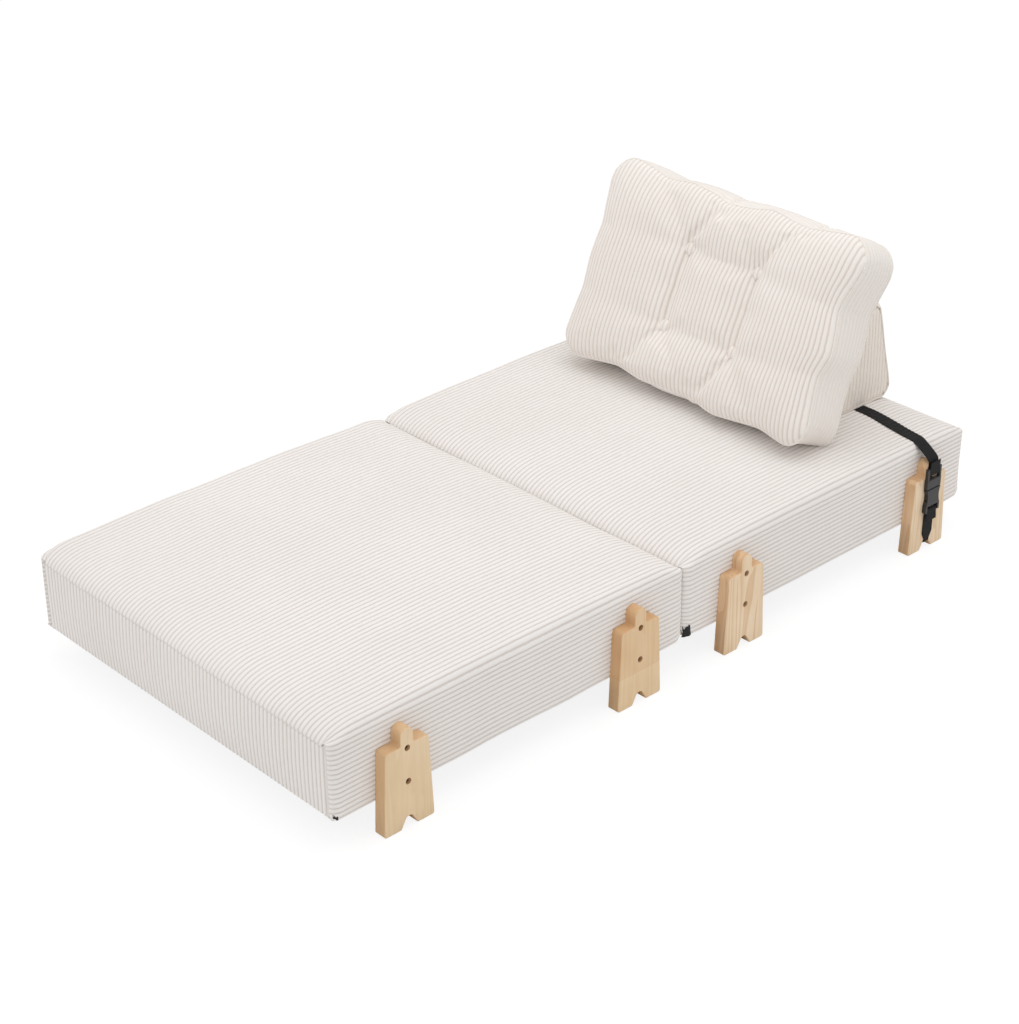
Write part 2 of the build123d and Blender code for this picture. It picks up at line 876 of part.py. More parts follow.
def socket():
    """Socket half: a waisted hollow body with side windows and a bar for the lower strap."""
    half = buckle_width / 2
    inner = web_width / 2 + 2 * clearance
    waist_z = (socket_mouth + socket_bottom) / 2
    low = buckle_middle - socket_thickness / 2
    with BuildSketch() as outline:
        with BuildLine():
            Line((-half, socket_mouth), (half, socket_mouth))
            ThreePointArc((half, socket_mouth), (socket_waist_half, waist_z), (half, socket_bottom))
            Line((half, socket_bottom), (half, socket_foot))
            Line((half, socket_foot), (-half, socket_foot))
            Line((-half, socket_foot), (-half, socket_bottom))
            ThreePointArc((-half, socket_bottom), (-socket_waist_half, waist_z), (-half, socket_mouth))
        make_face()
    shape = extrude(Plane.YZ.offset(low) * outline.sketch, socket_thickness)
    hollow = cavity_thickness / 2
    window = window_thickness / 2
    x = buckle_middle
    shape -= box(x - hollow, x + hollow, -cavity_half, cavity_half, cavity_floor, socket_mouth + overrun)
    shape -= box(x - window, x + window, -half - overrun, half + overrun, window_low, window_high)
    loop_low = socket_foot - overrun
    loop_high = socket_bottom - web_thickness
    shape -= box(low - overrun, low + socket_thickness + overrun, -inner, inner, loop_low, loop_high)
    shape += rod_y(buckle_bar_radius, x, -inner, inner, socket_bar_height)
    return Pos(0, strap_y, 0) * shape


def save_straps():
    """Upper strap with its plugs, and the short lower straps with their sockets."""
    save("upper_strap", upper_strap())
    pieces = {"lower_strap": lower_strap(), "buckle_plug": plug(), "buckle_socket": socket()}
    for name, piece in pieces.items():
        save(f"{name}_right", piece)
        save(f"{name}_left", mirrored(piece))
    arms = plug_arms()
    save("buckle_arms_right", Compound(children=arms))
    save("buckle_arms_left", Compound(children=[mirrored(arm) for arm in arms]))


def save_hinge():
    """Fabric hinge in the crease, half on each block."""
    half = hinge_tape()
    save("rear_hinge_tape", half)
    save("front_hinge_tape", mirror(half, about=Plane.XZ))


os.makedirs("parts", exist_ok=True)
save_block("front", -block_centre)
save_block("rear", block_centre)
save_hinge()
save_wedge()
save_cushion()
save_straps()
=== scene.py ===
import math

import bpy
import numpy as np
from mathutils import Matrix, Vector


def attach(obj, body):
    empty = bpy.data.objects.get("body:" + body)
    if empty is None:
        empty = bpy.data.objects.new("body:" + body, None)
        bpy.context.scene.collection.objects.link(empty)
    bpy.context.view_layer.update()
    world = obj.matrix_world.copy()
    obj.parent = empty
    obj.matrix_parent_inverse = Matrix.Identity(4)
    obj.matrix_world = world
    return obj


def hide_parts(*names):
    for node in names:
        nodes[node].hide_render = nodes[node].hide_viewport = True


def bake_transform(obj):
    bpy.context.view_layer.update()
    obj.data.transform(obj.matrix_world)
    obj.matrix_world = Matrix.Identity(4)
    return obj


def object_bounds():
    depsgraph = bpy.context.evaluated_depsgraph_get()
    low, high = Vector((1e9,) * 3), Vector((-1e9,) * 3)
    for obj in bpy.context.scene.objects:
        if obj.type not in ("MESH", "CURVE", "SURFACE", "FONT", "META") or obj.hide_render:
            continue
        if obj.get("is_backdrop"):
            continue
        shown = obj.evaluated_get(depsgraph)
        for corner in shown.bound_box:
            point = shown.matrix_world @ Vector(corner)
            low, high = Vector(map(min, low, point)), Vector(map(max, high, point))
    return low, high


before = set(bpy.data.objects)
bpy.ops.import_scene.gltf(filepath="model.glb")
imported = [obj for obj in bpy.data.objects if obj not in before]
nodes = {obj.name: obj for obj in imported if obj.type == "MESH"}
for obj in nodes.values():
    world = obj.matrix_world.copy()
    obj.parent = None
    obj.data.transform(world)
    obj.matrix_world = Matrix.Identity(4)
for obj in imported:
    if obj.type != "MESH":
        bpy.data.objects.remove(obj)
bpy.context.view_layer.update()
bpy.ops.object.select_all(action="DESELECT")

# Seat blocks, in metres
half_width = 0.500
half_length = 0.479
block_middle = 0.481
underside = 0.070
seat_top = 0.266
crown = 0.008
dome = 0.007
side_edge = 0.026
heel = 0.010
hem = 0.030
end_reach = 0.078
end_drop = 0.031
corner_reach = 0.021
corner_drop = 0.015
seam_tuck = 0.006
seam_sink = 0.003
corner_lift = 0.011
soft_end, soft_side, soft_rise = 0.034, 0.14, 0.075
cover_uneven = 0.0011
cover_wave = 0.22
strap_press = 0.0024
seat_clear = 0.0008
hinge_thick = 0.0008
hinge_half = 0.450

# Under the covers: half sizes, low and high, thickness
pad_size = (0.4935, 0.4705, 0.2063, 0.2600)
wadding_size = (0.4945, 0.4735, 0.0860, 0.2055, 0.0022)
under_half = (0.4697, 0.4487)
under_level = 0.0711
under_thick = 0.0010

# Corduroy
top_pitch = 0.0122
side_pitch = 0.0110
wale_rise = 0.0021
wale_steps = 8
pile_rise = 0.0003

# Wedge
wedge_half = 0.285
wedge_end_round = 0.014
wedge_corners = [(0.6332, 0.266, 0.006), (0.7530, 0.532, 0.026),
                 (0.8877, 0.532, 0.030), (0.9540, 0.266, 0.036)]
wedge_row_step = 0.014
wedge_end_sink = 0.012
wedge_seam_in = 0.011
wedge_foam_in = 0.0065
wedge_uneven = 0.0012
wedge_wave = 0.16

# Cushion
cushion_middle = np.array([0.004, 0.6415, 0.5130])
cushion_lean = math.radians(24.3)
cushion_across = np.array([1.0, 0.0, 0.0])
cushion_up = np.array([0.0, math.sin(cushion_lean), math.cos(cushion_lean)])
cushion_out = np.array([0.0, -math.cos(cushion_lean), math.sin(cushion_lean)])
cushion_half = (0.3880, 0.2425)
cushion_corner = 0.058
gusset_half = 0.056
cushion_pitch = 0.0122
button_spots = [(-0.094, 0.096), (0.118, 0.096), (-0.096, -0.096), (0.120, -0.096)]
button_radius = 0.0155
button_rise = 0.0075
button_dent = 0.030
button_groove = 0.0012
cushion_puff = 0.030
cushion_roll = 0.120
seam_scale = 0.00085
piping_radius = 0.0024
settle_frames = 24
settle_reach = 0.007
fill_pressure = 5.0
cage_cols, cage_rows, cage_layers = 93, 57, 13
plan_arc = 0.80
face_rows = 116
panel_span = (0.8, 0.478)
strip_wales = 9
cushion_clear = 0.0015
cushion_give = 0.004
button_floor = 0.060

# Webbing
web_half = 0.018
web_thick = 0.0016
strap_rear_y = 0.826
strap_foot_y = 0.799
strap_notch_half = 0.009
zip_end_sizes = (0.010, 0.019)


# Materials


def shader(name):
    """New material with its node tree and its principled shader."""
    made = bpy.data.materials.new(name)
    made.use_nodes = True
    return made, made.node_tree, made.node_tree.nodes["Principled BSDF"]


def fill(tree, made, inputs):
    """Link or set the inputs of a shader node."""
    for key, value in dict(inputs).items():
        if isinstance(value, bpy.types.NodeSocket):
            tree.links.new(value, made.inputs[key])
        else:
            made.inputs[key].default_value = value
    return made


def node(tree, kind, inputs=(), **values):
    """New shader node with its settings and its linked or fixed inputs."""
    made = tree.nodes.new(kind)
    for key, value in values.items():
        setattr(made, key, value)
    return fill(tree, made, inputs)


def maths(tree, operation, *terms):
    """Result of a sum on sockets and numbers."""
    return node(tree, "ShaderNodeMath", dict(enumerate(terms)), operation=operation).outputs[0]


def noise(tree, place, scale, detail=2.0, **more):
    """Soft noise at a place."""
    return node(tree, "ShaderNodeTexNoise", {0: place, "Scale": scale, "Detail": detail, **more}).outputs[0]


def spread(tree, value, low, high, start, stop, kind="LINEAR"):
    """Value moved from one range to another."""
    inputs = {0: value, 1: low, 2: high, 3: start, 4: stop}
    return node(tree, "ShaderNodeMapRange", inputs, interpolation_type=kind).outputs[0]


def blended(tree, share, first, second, kind="MIX"):
    """Two colours blended by a share."""
    inputs = {0: share, 6: first, 7: second}
    return node(tree, "ShaderNodeMix", inputs, data_type="RGBA", blend_type=kind).outputs[2]


def bumped(tree, height, strength, distance):
    """Surface normal with small bumps."""
    inputs = {"Height": height, "Strength": strength, "Distance": distance}
    return node(tree, "ShaderNodeBump", inputs).outputs[0]


def parted(tree, vector):
    """The three parts of a vector."""
    return node(tree, "ShaderNodeSeparateXYZ", {0: vector}).outputs


def places(tree):
    """Places on the object and the cloth's own wale numbers and run."""
    cloth = node(tree, "ShaderNodeUVMap", uv_map="cloth").outputs[0]
    return node(tree, "ShaderNodeTexCoord").outputs["Object"], parted(tree, cloth)


def ramp(tree, factor, stops):
    """Colour ramp with its stops."""
    made = node(tree, "ShaderNodeValToRGB", {0: factor})
    marks = made.color_ramp.elements
    while len(marks) < len(stops):
        marks.new(0.5)
    for mark, (place, colour) in zip(marks, stops):
        mark.position = place
        mark.color = (*colour, 1)
    return made.outputs[0]


def corduroy(name, crest, groove):
    """Corduroy: pale wales with painted shade in the grooves between them and a soft short pile."""
    made, tree, base = shader(name)
    place, cloth = places(tree)
    sway = maths(tree, "MULTIPLY_ADD", noise(tree, place, 55.0), 0.16, cloth[0])
    cell = maths(tree, "FRACT", maths(tree, "ADD", sway, -0.08))
    away = maths(tree, "ABSOLUTE", maths(tree, "ADD", cell, -0.5))
    groove_shade_mask = spread(tree, away, 0.20, 0.47, 0.0, 1.0, "SMOOTHSTEP")
    pile = noise(tree, place, 620.0, 3.0, Roughness=0.65)
    fleck = noise(tree, place, 170.0)
    speck = ramp(tree, pile, [(0.30, (0.93, 0.925, 0.92)), (0.62, (1, 1, 1))])
    tone = ramp(tree, noise(tree, place, 3.2), [(0.35, (0.975, 0.968, 0.962)), (0.65, (1, 1, 1))])
    # Painted shade: the darker groove colour is laid between the wales.
    body = blended(tree, groove_shade_mask, (*crest, 1), (*groove, 1))
    grainy = blended(tree, 0.8, body, speck, "MULTIPLY")
    fluff = maths(tree, "MULTIPLY_ADD", pile, 0.6, fleck)
    fill(tree, base, {
        "Base Color": blended(tree, 1.0, grainy, tone, "MULTIPLY"),
        "Roughness": spread(tree, fleck, 0.3, 0.7, 0.86, 0.98),
        "Normal": bumped(tree, fluff, 0.35, 0.0008),
        "Sheen Weight": 0.25, "Sheen Roughness": 0.5, "Sheen Tint": (1.0, 0.98, 0.95, 1),
        "Specular IOR Level": 0.15})
    return made


def foot_wood(name, seed, pale, dark, streak, glue=None):
    """Waxed softwood with upright grain; glue is the height of a finger joint between two boards."""
    made, tree, base = shader(name)
    place = node(tree, "ShaderNodeTexCoord").outputs["Object"]
    turn = node(tree, "ShaderNodeMapping", {0: place, 1: (seed * 1.7, seed * 0.9, seed * 0.31)}).outputs[0]
    long = node(tree, "ShaderNodeMapping", {0: turn, 3: (1.0, 1.0, 0.075)}).outputs[0]
    ring = maths(tree, "FRACT", maths(tree, "MULTIPLY", noise(tree, long, 16.0, Distortion=0.6), 9.0))
    share = maths(tree, "MULTIPLY", spread(tree, ring, 0.25, 0.95, 0.0, 1.0), streak)
    fibre = noise(tree, long, 260.0, 4.0, Roughness=0.7)
    fine = maths(tree, "MULTIPLY_ADD", fibre, 0.30, share)
    depth = maths(tree, "MULTIPLY_ADD", noise(tree, turn, 9.0), 0.55, fine)
    if glue is not None:
        above = maths(tree, "GREATER_THAN", parted(tree, place)[2], glue)
        depth = maths(tree, "MULTIPLY_ADD", above, 0.22, depth)
    middle = tuple((p + d) / 2 for p, d in zip(pale, dark))
    colour = ramp(tree, depth, [(0.28, pale), (0.62, middle), (0.98, dark)])
    # Painted shade: faces that do not face out along x are darkened to a warmer brown.
    facing = parted(tree, node(tree, "ShaderNodeNewGeometry").outputs["Normal"])
    edge = spread(tree, maths(tree, "ABSOLUTE", facing[0]), 0.98, 0.25, 0.0, 0.75)
    fill(tree, base, {
        "Base Color": blended(tree, edge, colour, (0.84, 0.68, 0.54, 1), "MULTIPLY"),
        "Roughness": spread(tree, fibre, 0.3, 0.7, 0.42, 0.58),
        "Normal": bumped(tree, fine, 0.18, 0.0006),
        "Specular IOR Level": 0.35})
    return made


def webbing_cloth(name):
    """Black webbing: fine ridges across and a dull sheen."""
    made, tree, base = shader(name)
    place, cloth = places(tree)
    wave = maths(tree, "PINGPONG", maths(tree, "MULTIPLY", cloth[0], 260.0), 1.0)
    thread = maths(tree, "PINGPONG", maths(tree, "MULTIPLY_ADD", cloth[1], 900.0, wave), 0.5)
    mixed = maths(tree, "MULTIPLY_ADD", noise(tree, place, 900.0), 0.5, thread)
    fill(tree, base, {
        "Base Color": ramp(tree, mixed, [(0.2, (0.004, 0.004, 0.0045)), (0.8, (0.015, 0.0145, 0.0155))]),
        "Normal": bumped(tree, mixed, 0.6, 0.0004),
        "Roughness": 0.7, "Specular IOR Level": 0.25})
    return made


def speckled(name, low, high, roughness, metallic=0.0, scale=140.0, bump=0.15, stretch=(1, 1, 1)):
    """Plain finish with small changes of colour, gloss and surface."""
    made, tree, base = shader(name)
    place = node(tree, "ShaderNodeTexCoord").outputs["Object"]
    turn = node(tree, "ShaderNodeMapping", {0: place, 3: stretch}).outputs[0]
    grain = noise(tree, turn, scale, 4.0, Roughness=0.6)
    fill(tree, base, {
        "Base Color": ramp(tree, grain, [(0.3, low), (0.7, high)]),
        "Roughness": spread(tree, grain, 0.3, 0.7, roughness - 0.08, roughness + 0.08),
        "Normal": bumped(tree, grain, bump, 0.0005),
        "Metallic": metallic})
    return made


# Each corduroy: the wale colour, then the groove colour, which holds painted shade.
seat_corduroy = corduroy("seat_corduroy", (0.90, 0.875, 0.857), (0.735, 0.685, 0.648))
cushion_corduroy = corduroy("cushion_corduroy", (0.905, 0.868, 0.835), (0.775, 0.70, 0.64))
# Cushion strip: the same corduroy tinted warmer, a painted warm shade.
strip_corduroy = corduroy("strip_corduroy", (0.90, 0.858, 0.822), (0.85, 0.793, 0.748))
# Wedge: the same corduroy tinted warmer, a painted warm shade.
wedge_corduroy = corduroy("wedge_corduroy", (0.91, 0.86, 0.80), (0.83, 0.755, 0.68))
piping_cloth = speckled("piping_cloth", (0.80, 0.76, 0.71), (0.88, 0.85, 0.80), 0.9, scale=700.0)
black_webbing = webbing_cloth("black_webbing")
black_cloth = speckled("black_cloth", (0.010, 0.010, 0.011), (0.028, 0.028, 0.030), 0.85, scale=500.0)
buckle_plastic = speckled("buckle_plastic", (0.012, 0.012, 0.013), (0.026, 0.026, 0.028), 0.36, scale=260.0)
black_metal = speckled("black_metal", (0.020, 0.020, 0.021), (0.045, 0.045, 0.047), 0.38, 0.6, 300.0)
bolt_steel = speckled("bolt_steel", (0.030, 0.022, 0.016), (0.075, 0.060, 0.045), 0.45, 0.7, 300.0)
insert_brass = speckled("insert_brass", (0.50, 0.36, 0.15), (0.68, 0.52, 0.25), 0.35, 1.0, 200.0)
frame_pine = speckled("frame_pine", (0.62, 0.45, 0.26), (0.78, 0.62, 0.42), 0.62, scale=30.0,
                      stretch=(1, 0.08, 1))
slat_pine = speckled("slat_pine", (0.64, 0.48, 0.28), (0.80, 0.65, 0.45), 0.62, scale=30.0,
                     stretch=(0.08, 1, 1))
pad_foam = speckled("pad_foam", (0.72, 0.66, 0.48), (0.86, 0.81, 0.64), 0.95, scale=420.0, bump=0.5)
fibre_wadding = speckled("fibre_wadding", (0.80, 0.80, 0.79), (0.92, 0.92, 0.91), 0.97, scale=90.0, bump=0.6)
button_thread = speckled("button_thread", (0.70, 0.66, 0.60), (0.85, 0.81, 0.75), 0.9, scale=800.0)


# Cloth meshes


def ripple(points, wavelength, seed):
    """Soft unevenness between about -1 and 1, from a few fixed waves."""
    chance = np.random.default_rng(seed)
    total = np.zeros(points.shape[:-1])
    for _ in range(7):
        direction = chance.normal(size=3)
        direction /= np.linalg.norm(direction)
        length = wavelength * chance.uniform(0.6, 1.6)
        total += np.sin(points @ direction * 2 * np.pi / length + chance.uniform(0, 2 * np.pi))
    return total / 4


def smooth(value, low, high):
    """Soft step from 0 at low to 1 at high."""
    t = np.clip((value - low) / (high - low), 0, 1)
    return t * t * (3 - 2 * t)


def unit(vectors):
    """Vectors brought to length one."""
    return vectors / np.linalg.norm(vectors, axis=-1, keepdims=True)


def from_edge(count):
    """Steps from the nearer end, for each of a row of places."""
    number = np.arange(count)
    return np.minimum(number, count - 1 - number)


def grid_normals(points):
    """Unit normals of a grid of points, towards columns cross rows."""
    normal = np.cross(np.gradient(points, axis=1), np.gradient(points, axis=0))
    return normal / np.maximum(np.linalg.norm(normal, axis=-1, keepdims=True), 1e-12)


def wale_crest(wale):
    """Height across a wale: 1 on its crest, 0 in the groove."""
    return np.abs(np.sin(np.pi * wale)) ** 0.6


def raised(points, wale, height, outward=1):
    """Smooth grid raised into wales: crests at the given surface, grooves sunk by height."""
    lift = (wale_crest(wale) - 1) * height + pile_rise
    return points + grid_normals(points) * (outward * lift)[..., None]


def linked(name, data):
    """New object in the scene."""
    made = bpy.data.objects.new(name, data)
    bpy.context.scene.collection.objects.link(made)
    return made


def grid_quads(index):
    """Corner numbers of the faces between the places of a grid."""
    return np.stack([index[:-1, :-1], index[:-1, 1:], index[1:, 1:], index[1:, :-1]], -1).reshape(-1, 4)


def cloth_object(name, panels, material):
    """Mesh object from panels; each is points, wale numbers, run along the wale and its facing."""
    corners, quads, coords = [], [], []
    start = 0
    for points, wale, run, outward in panels:
        rows, cols = points.shape[:2]
        wale, run = (np.broadcast_to(part, (rows, cols)) for part in (wale, run))
        index = start + np.arange(rows * cols).reshape(rows, cols)
        faces = grid_quads(index)
        quads.append(faces if outward > 0 else faces[:, ::-1])
        corners.append(points.reshape(-1, 3))
        coords.append(np.stack([wale, run], -1).reshape(-1, 2))
        start += rows * cols
    corners, quads, coords = (np.concatenate(part) for part in (corners, quads, coords))
    mesh = bpy.data.meshes.new(name)
    mesh.vertices.add(len(corners))
    mesh.vertices.foreach_set("co", corners.astype(np.float32).ravel())
    mesh.loops.add(quads.size)
    mesh.loops.foreach_set("vertex_index", quads.astype(np.int32).ravel())
    mesh.polygons.add(len(quads))
    mesh.polygons.foreach_set("loop_start", np.arange(0, quads.size, 4, dtype=np.int32))
    mesh.update(calc_edges=True)
    layer = mesh.uv_layers.new(name="cloth")
    layer.data.foreach_set("uv", coords[quads.ravel()].astype(np.float32).ravel())
    mesh.validate()
    mesh.shade_smooth()
    made = linked(name, mesh)
    made.data.materials.append(material)
    return made


def run_length(points):
    """Length along each column of a grid, from its first row."""
    step = np.linalg.norm(np.diff(points, axis=0), axis=-1)
    return np.concatenate([np.zeros((1, points.shape[1])), np.cumsum(step, axis=0)])


# Seat covers


def seat_profile():
    """Cover from hem to hem in the cross-section: x, z and wale number."""
    flat = np.linspace(0, half_width - side_edge, 60)
    turn = np.linspace(0, np.pi / 2, 14)[1:]
    low = np.linspace(seat_top - side_edge, underside + heel, 24)[1:]
    tuck = np.linspace(half_width - heel, half_width - hem, 5)[1:]
    x = [flat, half_width - side_edge + side_edge * np.sin(turn), np.full_like(low, half_width)]
    z = [seat_top + crown * (1 - (flat / flat[-1]) ** 2), seat_top - side_edge + side_edge * np.cos(turn),
         low]
    x += [half_width - heel + heel * np.cos(turn), tuck]
    z += [underside + heel - heel * np.sin(turn), np.full_like(tuck, underside)]
    x, z = np.concatenate(x), np.concatenate(z)
    step = np.hypot(np.diff(x), np.diff(z))
    pitch = np.where(z[1:] > seat_top - side_edge / 2, top_pitch, side_pitch)
    wale = np.concatenate([[0], np.cumsum(step / pitch)])
    even = np.arange(0, wale[-1], 1 / wale_steps)
    x, z = np.interp(even, wale, x), np.interp(even, wale, z)
    return np.concatenate([-x[:0:-1], x]), np.concatenate([z[:0:-1], z]), np.concatenate([-even[:0:-1], even])


def seat_section():
    """Cross-section of a cover with its outward directions and how far each place faces up."""
    x, z, wale = seat_profile()
    nx, nz = np.gradient(z), -np.gradient(x)
    size = np.hypot(nx, nz)
    nx, nz = -nx / size, -nz / size
    return x, z, wale, nx, nz, smooth(nz, 0.15, 0.95)


def seat_dome(x, y):
    """Rise of the filled top above its own cross-section: high in the middle, nothing at the ends."""
    long = np.clip(1 - (y / half_length) ** 2, 0, 1)
    side = np.clip(1 - (x / half_width) ** 2, 0, 1)
    return dome * long - crown * side * (1 - long)


def strap_line(x):
    """Where the strap runs along the bed, at a distance from the middle."""
    far = smooth(np.abs(x), 0.300, 0.498)
    return strap_rear_y + (strap_foot_y - strap_rear_y) * far


def cover_wrap(middle):
    """Top and sides of a cover in one cloth, its wales running along the bed."""
    x, z, wale, nx, nz, upper = seat_section()
    lower = smooth(-nz, 0.3, 0.9)
    reach = corner_reach + (end_reach - corner_reach) * upper
    drop = corner_drop + (end_drop - corner_drop) * upper - 0.008 * lower
    turns = np.linspace(np.pi / 2, 0, 13)
    rows = [(-half_length + seam_tuck, drop + seam_sink)]
    rows += [(-(half_length - reach + reach * np.sin(a)), drop * (1 - np.cos(a))) for a in turns]
    rows += [(t * (half_length - reach), 0 * drop) for t in np.linspace(-1, 1, 30)[1:-1]]
    rows += [(half_length - reach + reach * np.sin(a), drop * (1 - np.cos(a))) for a in turns[::-1]]
    rows += [(half_length - seam_tuck, drop + seam_sink)]
    y = np.stack([row[0] + 0 * x for row in rows])
    inset = np.stack([row[1] for row in rows])
    points = np.stack([x - nx * inset, y + middle, z - nz * inset], -1)
    points[..., 2] += seat_dome(x, y) * upper
    gap = np.abs(half_length - np.abs(y))
    plain = np.where(upper > 0.5, 0.004, 0.010)
    height = wale_rise * smooth(gap, 0.0, plain)
    return points, wale, height


def cover_opening():
    """Top edge of the end panels: height of the seam at a distance from the middle."""
    x, z, _, nx, nz, upper = seat_section()
    drop = corner_drop + (end_drop - corner_drop) * upper
    keep = nz > 0.02
    seam_z = z - nz * drop - crown * np.clip(1 - (x / half_width) ** 2, 0, 1) * upper
    return (x - nx * drop)[keep], seam_z[keep]


def cover_end(middle, end, bulge):
    """End panel of a cover with upright wales, turned under at the bottom."""
    seam_x, seam_z = cover_opening()
    side = half_width - corner_drop
    count = int(side / top_pitch * wale_steps)
    wale = np.arange(-count, count + 1) / wale_steps
    x = wale * top_pitch
    ceiling = np.interp(x, seam_x, seam_z)
    under = np.linspace(hem, heel, 4)
    turn = np.linspace(0, np.pi / 2, 7)[1:]
    rows = [(deep, underside + 0 * x) for deep in under]
    rows += [(heel - heel * np.sin(a), underside + heel - heel * np.cos(a) + 0 * x) for a in turn]
    for t in np.linspace(0, 1, 16)[1:]:
        rows.append((0, underside + heel + (ceiling - 0.006 - underside - heel) * t))
    rows += [(0.001, ceiling - 0.003), (0.003, ceiling - 0.001), (0.008, ceiling + 0.002)]
    deep = np.stack([row[0] + 0 * x for row in rows])
    z = np.stack([row[1] for row in rows])
    rise = np.clip((z - underside) / (ceiling - underside), 0, 1)
    deep += 0.008 * smooth(np.abs(x), side - 0.009, side)
    deep -= bulge * np.sin(np.pi * rise) * np.clip(1 - (x / side) ** 4, 0, 1)
    points = np.stack([np.broadcast_to(x, z.shape), middle + end * (half_length - deep), z], -1)
    height = wale_rise * smooth(side - np.abs(x), 0.002, 0.008) * smooth(ceiling - z, -0.001, 0.003)
    return points, wale, height


def settle_cover(points, middle, softer_ends):
    """Bottom corners of a filled cover, soft and a little lifted."""
    x, y, z = points[..., 0], points[..., 1] - middle, points[..., 2]
    for end in softer_ends:
        near = smooth(end * y, half_length - soft_end, half_length)
        near = near * smooth(np.abs(x), half_width - soft_side, half_width - 0.02)
        points[..., 2] += corner_lift * near ** 2 * (1 - smooth(z, underside, underside + soft_rise))
    return points


def seat_cover(name, middle, replaced, ends, softer_ends):
    """Whole cover of one block."""
    panels = []
    wrap, wale, height = cover_wrap(middle)
    if middle > 0:
        beside = np.abs(wrap[..., 1] - strap_line(wrap[..., 0]))
        press = (1 - smooth(beside, web_half - 0.003, web_half + 0.010)) * (wrap[..., 2] > 0.225)
        wrap = wrap - grid_normals(wrap) * (strap_press * press)[..., None]
        height = height * (1 - 0.6 * press)
    uneven = cover_uneven * ripple(wrap, cover_wave, 3 + int(middle > 0))
    wrap = wrap + grid_normals(wrap) * uneven[..., None]
    wrap = settle_cover(wrap, middle, softer_ends)
    panels.append((raised(wrap, wale, height), wale, run_length(wrap), 1))
    for end, bulge in ends.items():
        points, wale, height = cover_end(middle, end, bulge)
        points = settle_cover(points, middle, softer_ends)
        panels.append((raised(points, wale, height, -end), wale, run_length(points), -end))
    made = cloth_object(name, panels, seat_corduroy)
    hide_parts(*replaced)
    return made


front_cover = seat_cover("front_seat_cover", -block_middle, ["front_cover"], {-1: 0.004, 1: 0.0}, [1])
rear_cover = seat_cover("rear_seat_cover", block_middle, ["rear_cover"], {-1: 0.0, 1: 0.004}, [-1, 1])
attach(front_cover, "front_block")
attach(rear_cover, "rear_block")


# Filling and cloths inside and under the blocks


def filled_slab(name, middle, x_half, y_half, low, high, material, replaced, body):
    """Closed pad under the cover, its top following the cover and its corners round."""
    t = np.linspace(-1, 1, 61)
    a = np.sin(t * np.pi / 2 * 0.9) / math.sin(np.pi / 2 * 0.9)
    x, y = np.meshgrid(a * x_half, a * y_half)
    near = np.clip((np.abs(y) - (half_length - end_reach)) / end_reach, 0, 1)
    rim = np.clip((np.abs(x) - (half_width - side_edge)) / side_edge, 0, 1)
    top = high + (crown * (1 - (x / half_width) ** 2) + seat_dome(x, y))
    round_end = end_drop * (1 - np.sqrt(1 - near ** 2))
    round_side = side_edge * (1 - np.sqrt(np.maximum(1 - rim ** 2, 0)))
    top -= round_end + round_side
    upper = np.stack([x, y + middle, top], -1)
    lower = np.stack([x, y + middle, low + 0.006 * (near ** 4 + rim ** 4)], -1)
    above, below = (np.concatenate([border(grid), grid[:1, 0]]) for grid in (upper, lower))
    edge = np.stack([above * (1 - share) + below * share for share in np.linspace(0, 1, 6)])
    wale, run = x / top_pitch, y
    round_wale = np.arange(edge.shape[1]) * 0.5
    panels = [(upper, wale, run, 1), (lower, wale, run, -1), (edge, round_wale, run_length(edge), 1)]
    made = cloth_object(name, panels, material)
    weld(made)
    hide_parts(*replaced)
    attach(made, body)
    return made


def weld(piece):
    """Join the panels of a closed piece where they meet, faces outwards."""
    bpy.ops.object.select_all(action="DESELECT")
    piece.select_set(True)
    bpy.context.view_layer.objects.active = piece
    bpy.ops.object.mode_set(mode="EDIT")
    bpy.ops.mesh.select_all(action="SELECT")
    bpy.ops.mesh.remove_doubles(threshold=0.00002)
    bpy.ops.mesh.normals_make_consistent(inside=False)
    bpy.ops.object.mode_set(mode="OBJECT")
    piece.select_set(False)


def border(grid):
    """Points round the edge of a grid, once round."""
    return np.concatenate([grid[0, :-1], grid[:-1, -1], grid[-1, :0:-1], grid[:0:-1, 0]])


def woven_sheet(name, x_half, y_low, y_high, z, thick, material):
    """Closed thin sheet of cloth with turned edges."""
    x, y = np.meshgrid(np.linspace(-x_half, x_half, 97), np.linspace(y_low, y_high, 97))
    beside = np.clip(1 - (x / x_half) ** 2, 0, 1)
    inside = beside * np.clip(1 - ((2 * y - y_low - y_high) / (y_high - y_low)) ** 2, 0, 1)
    flat = np.stack([x, y, z + 0 * inside], -1)
    edge = smooth(np.minimum(x_half - np.abs(x), np.minimum(y - y_low, y_high - y)), 0, 0.012)
    lower = flat - np.stack([0 * x, 0 * x, thick * (1 + 0.6 * (1 - edge)) * (inside > 0)], -1)
    made = cloth_object(name, [(flat, x, y, 1), (lower, x, y, -1)], material)
    weld(made)
    return made


def side_band(name, middle, x_half, y_half, low, high, thick, material):
    """Closed band of padding that stands round a block's frame."""
    corner = 0.016
    turn = np.linspace(0, np.pi / 2, 7)
    spots = []
    for side, end, start in ((1, 1, 0), (-1, 1, 1), (-1, -1, 2), (1, -1, 3)):
        bend = turn + start * np.pi / 2
        across = side * (x_half - corner) + corner * np.cos(bend)
        spots.append(np.stack([across, end * (y_half - corner) + corner * np.sin(bend)], -1))
    loop = np.concatenate(spots + [spots[0][:1]])
    facing = loop / np.array([x_half, y_half])
    facing = unit(np.sign(facing) * np.abs(facing) ** 12)
    rows = []
    for inset, z in ((0, low), (0, high), (thick, high), (thick, low), (0, low)):
        plan = loop - facing * inset
        rows.append(np.concatenate([plan + np.array([0, middle]), np.full((len(plan), 1), z)], -1))
    points = np.array(rows)
    made = cloth_object(name, [(points, np.arange(points.shape[1]), run_length(points), 1)], material)
    weld(made)
    return made


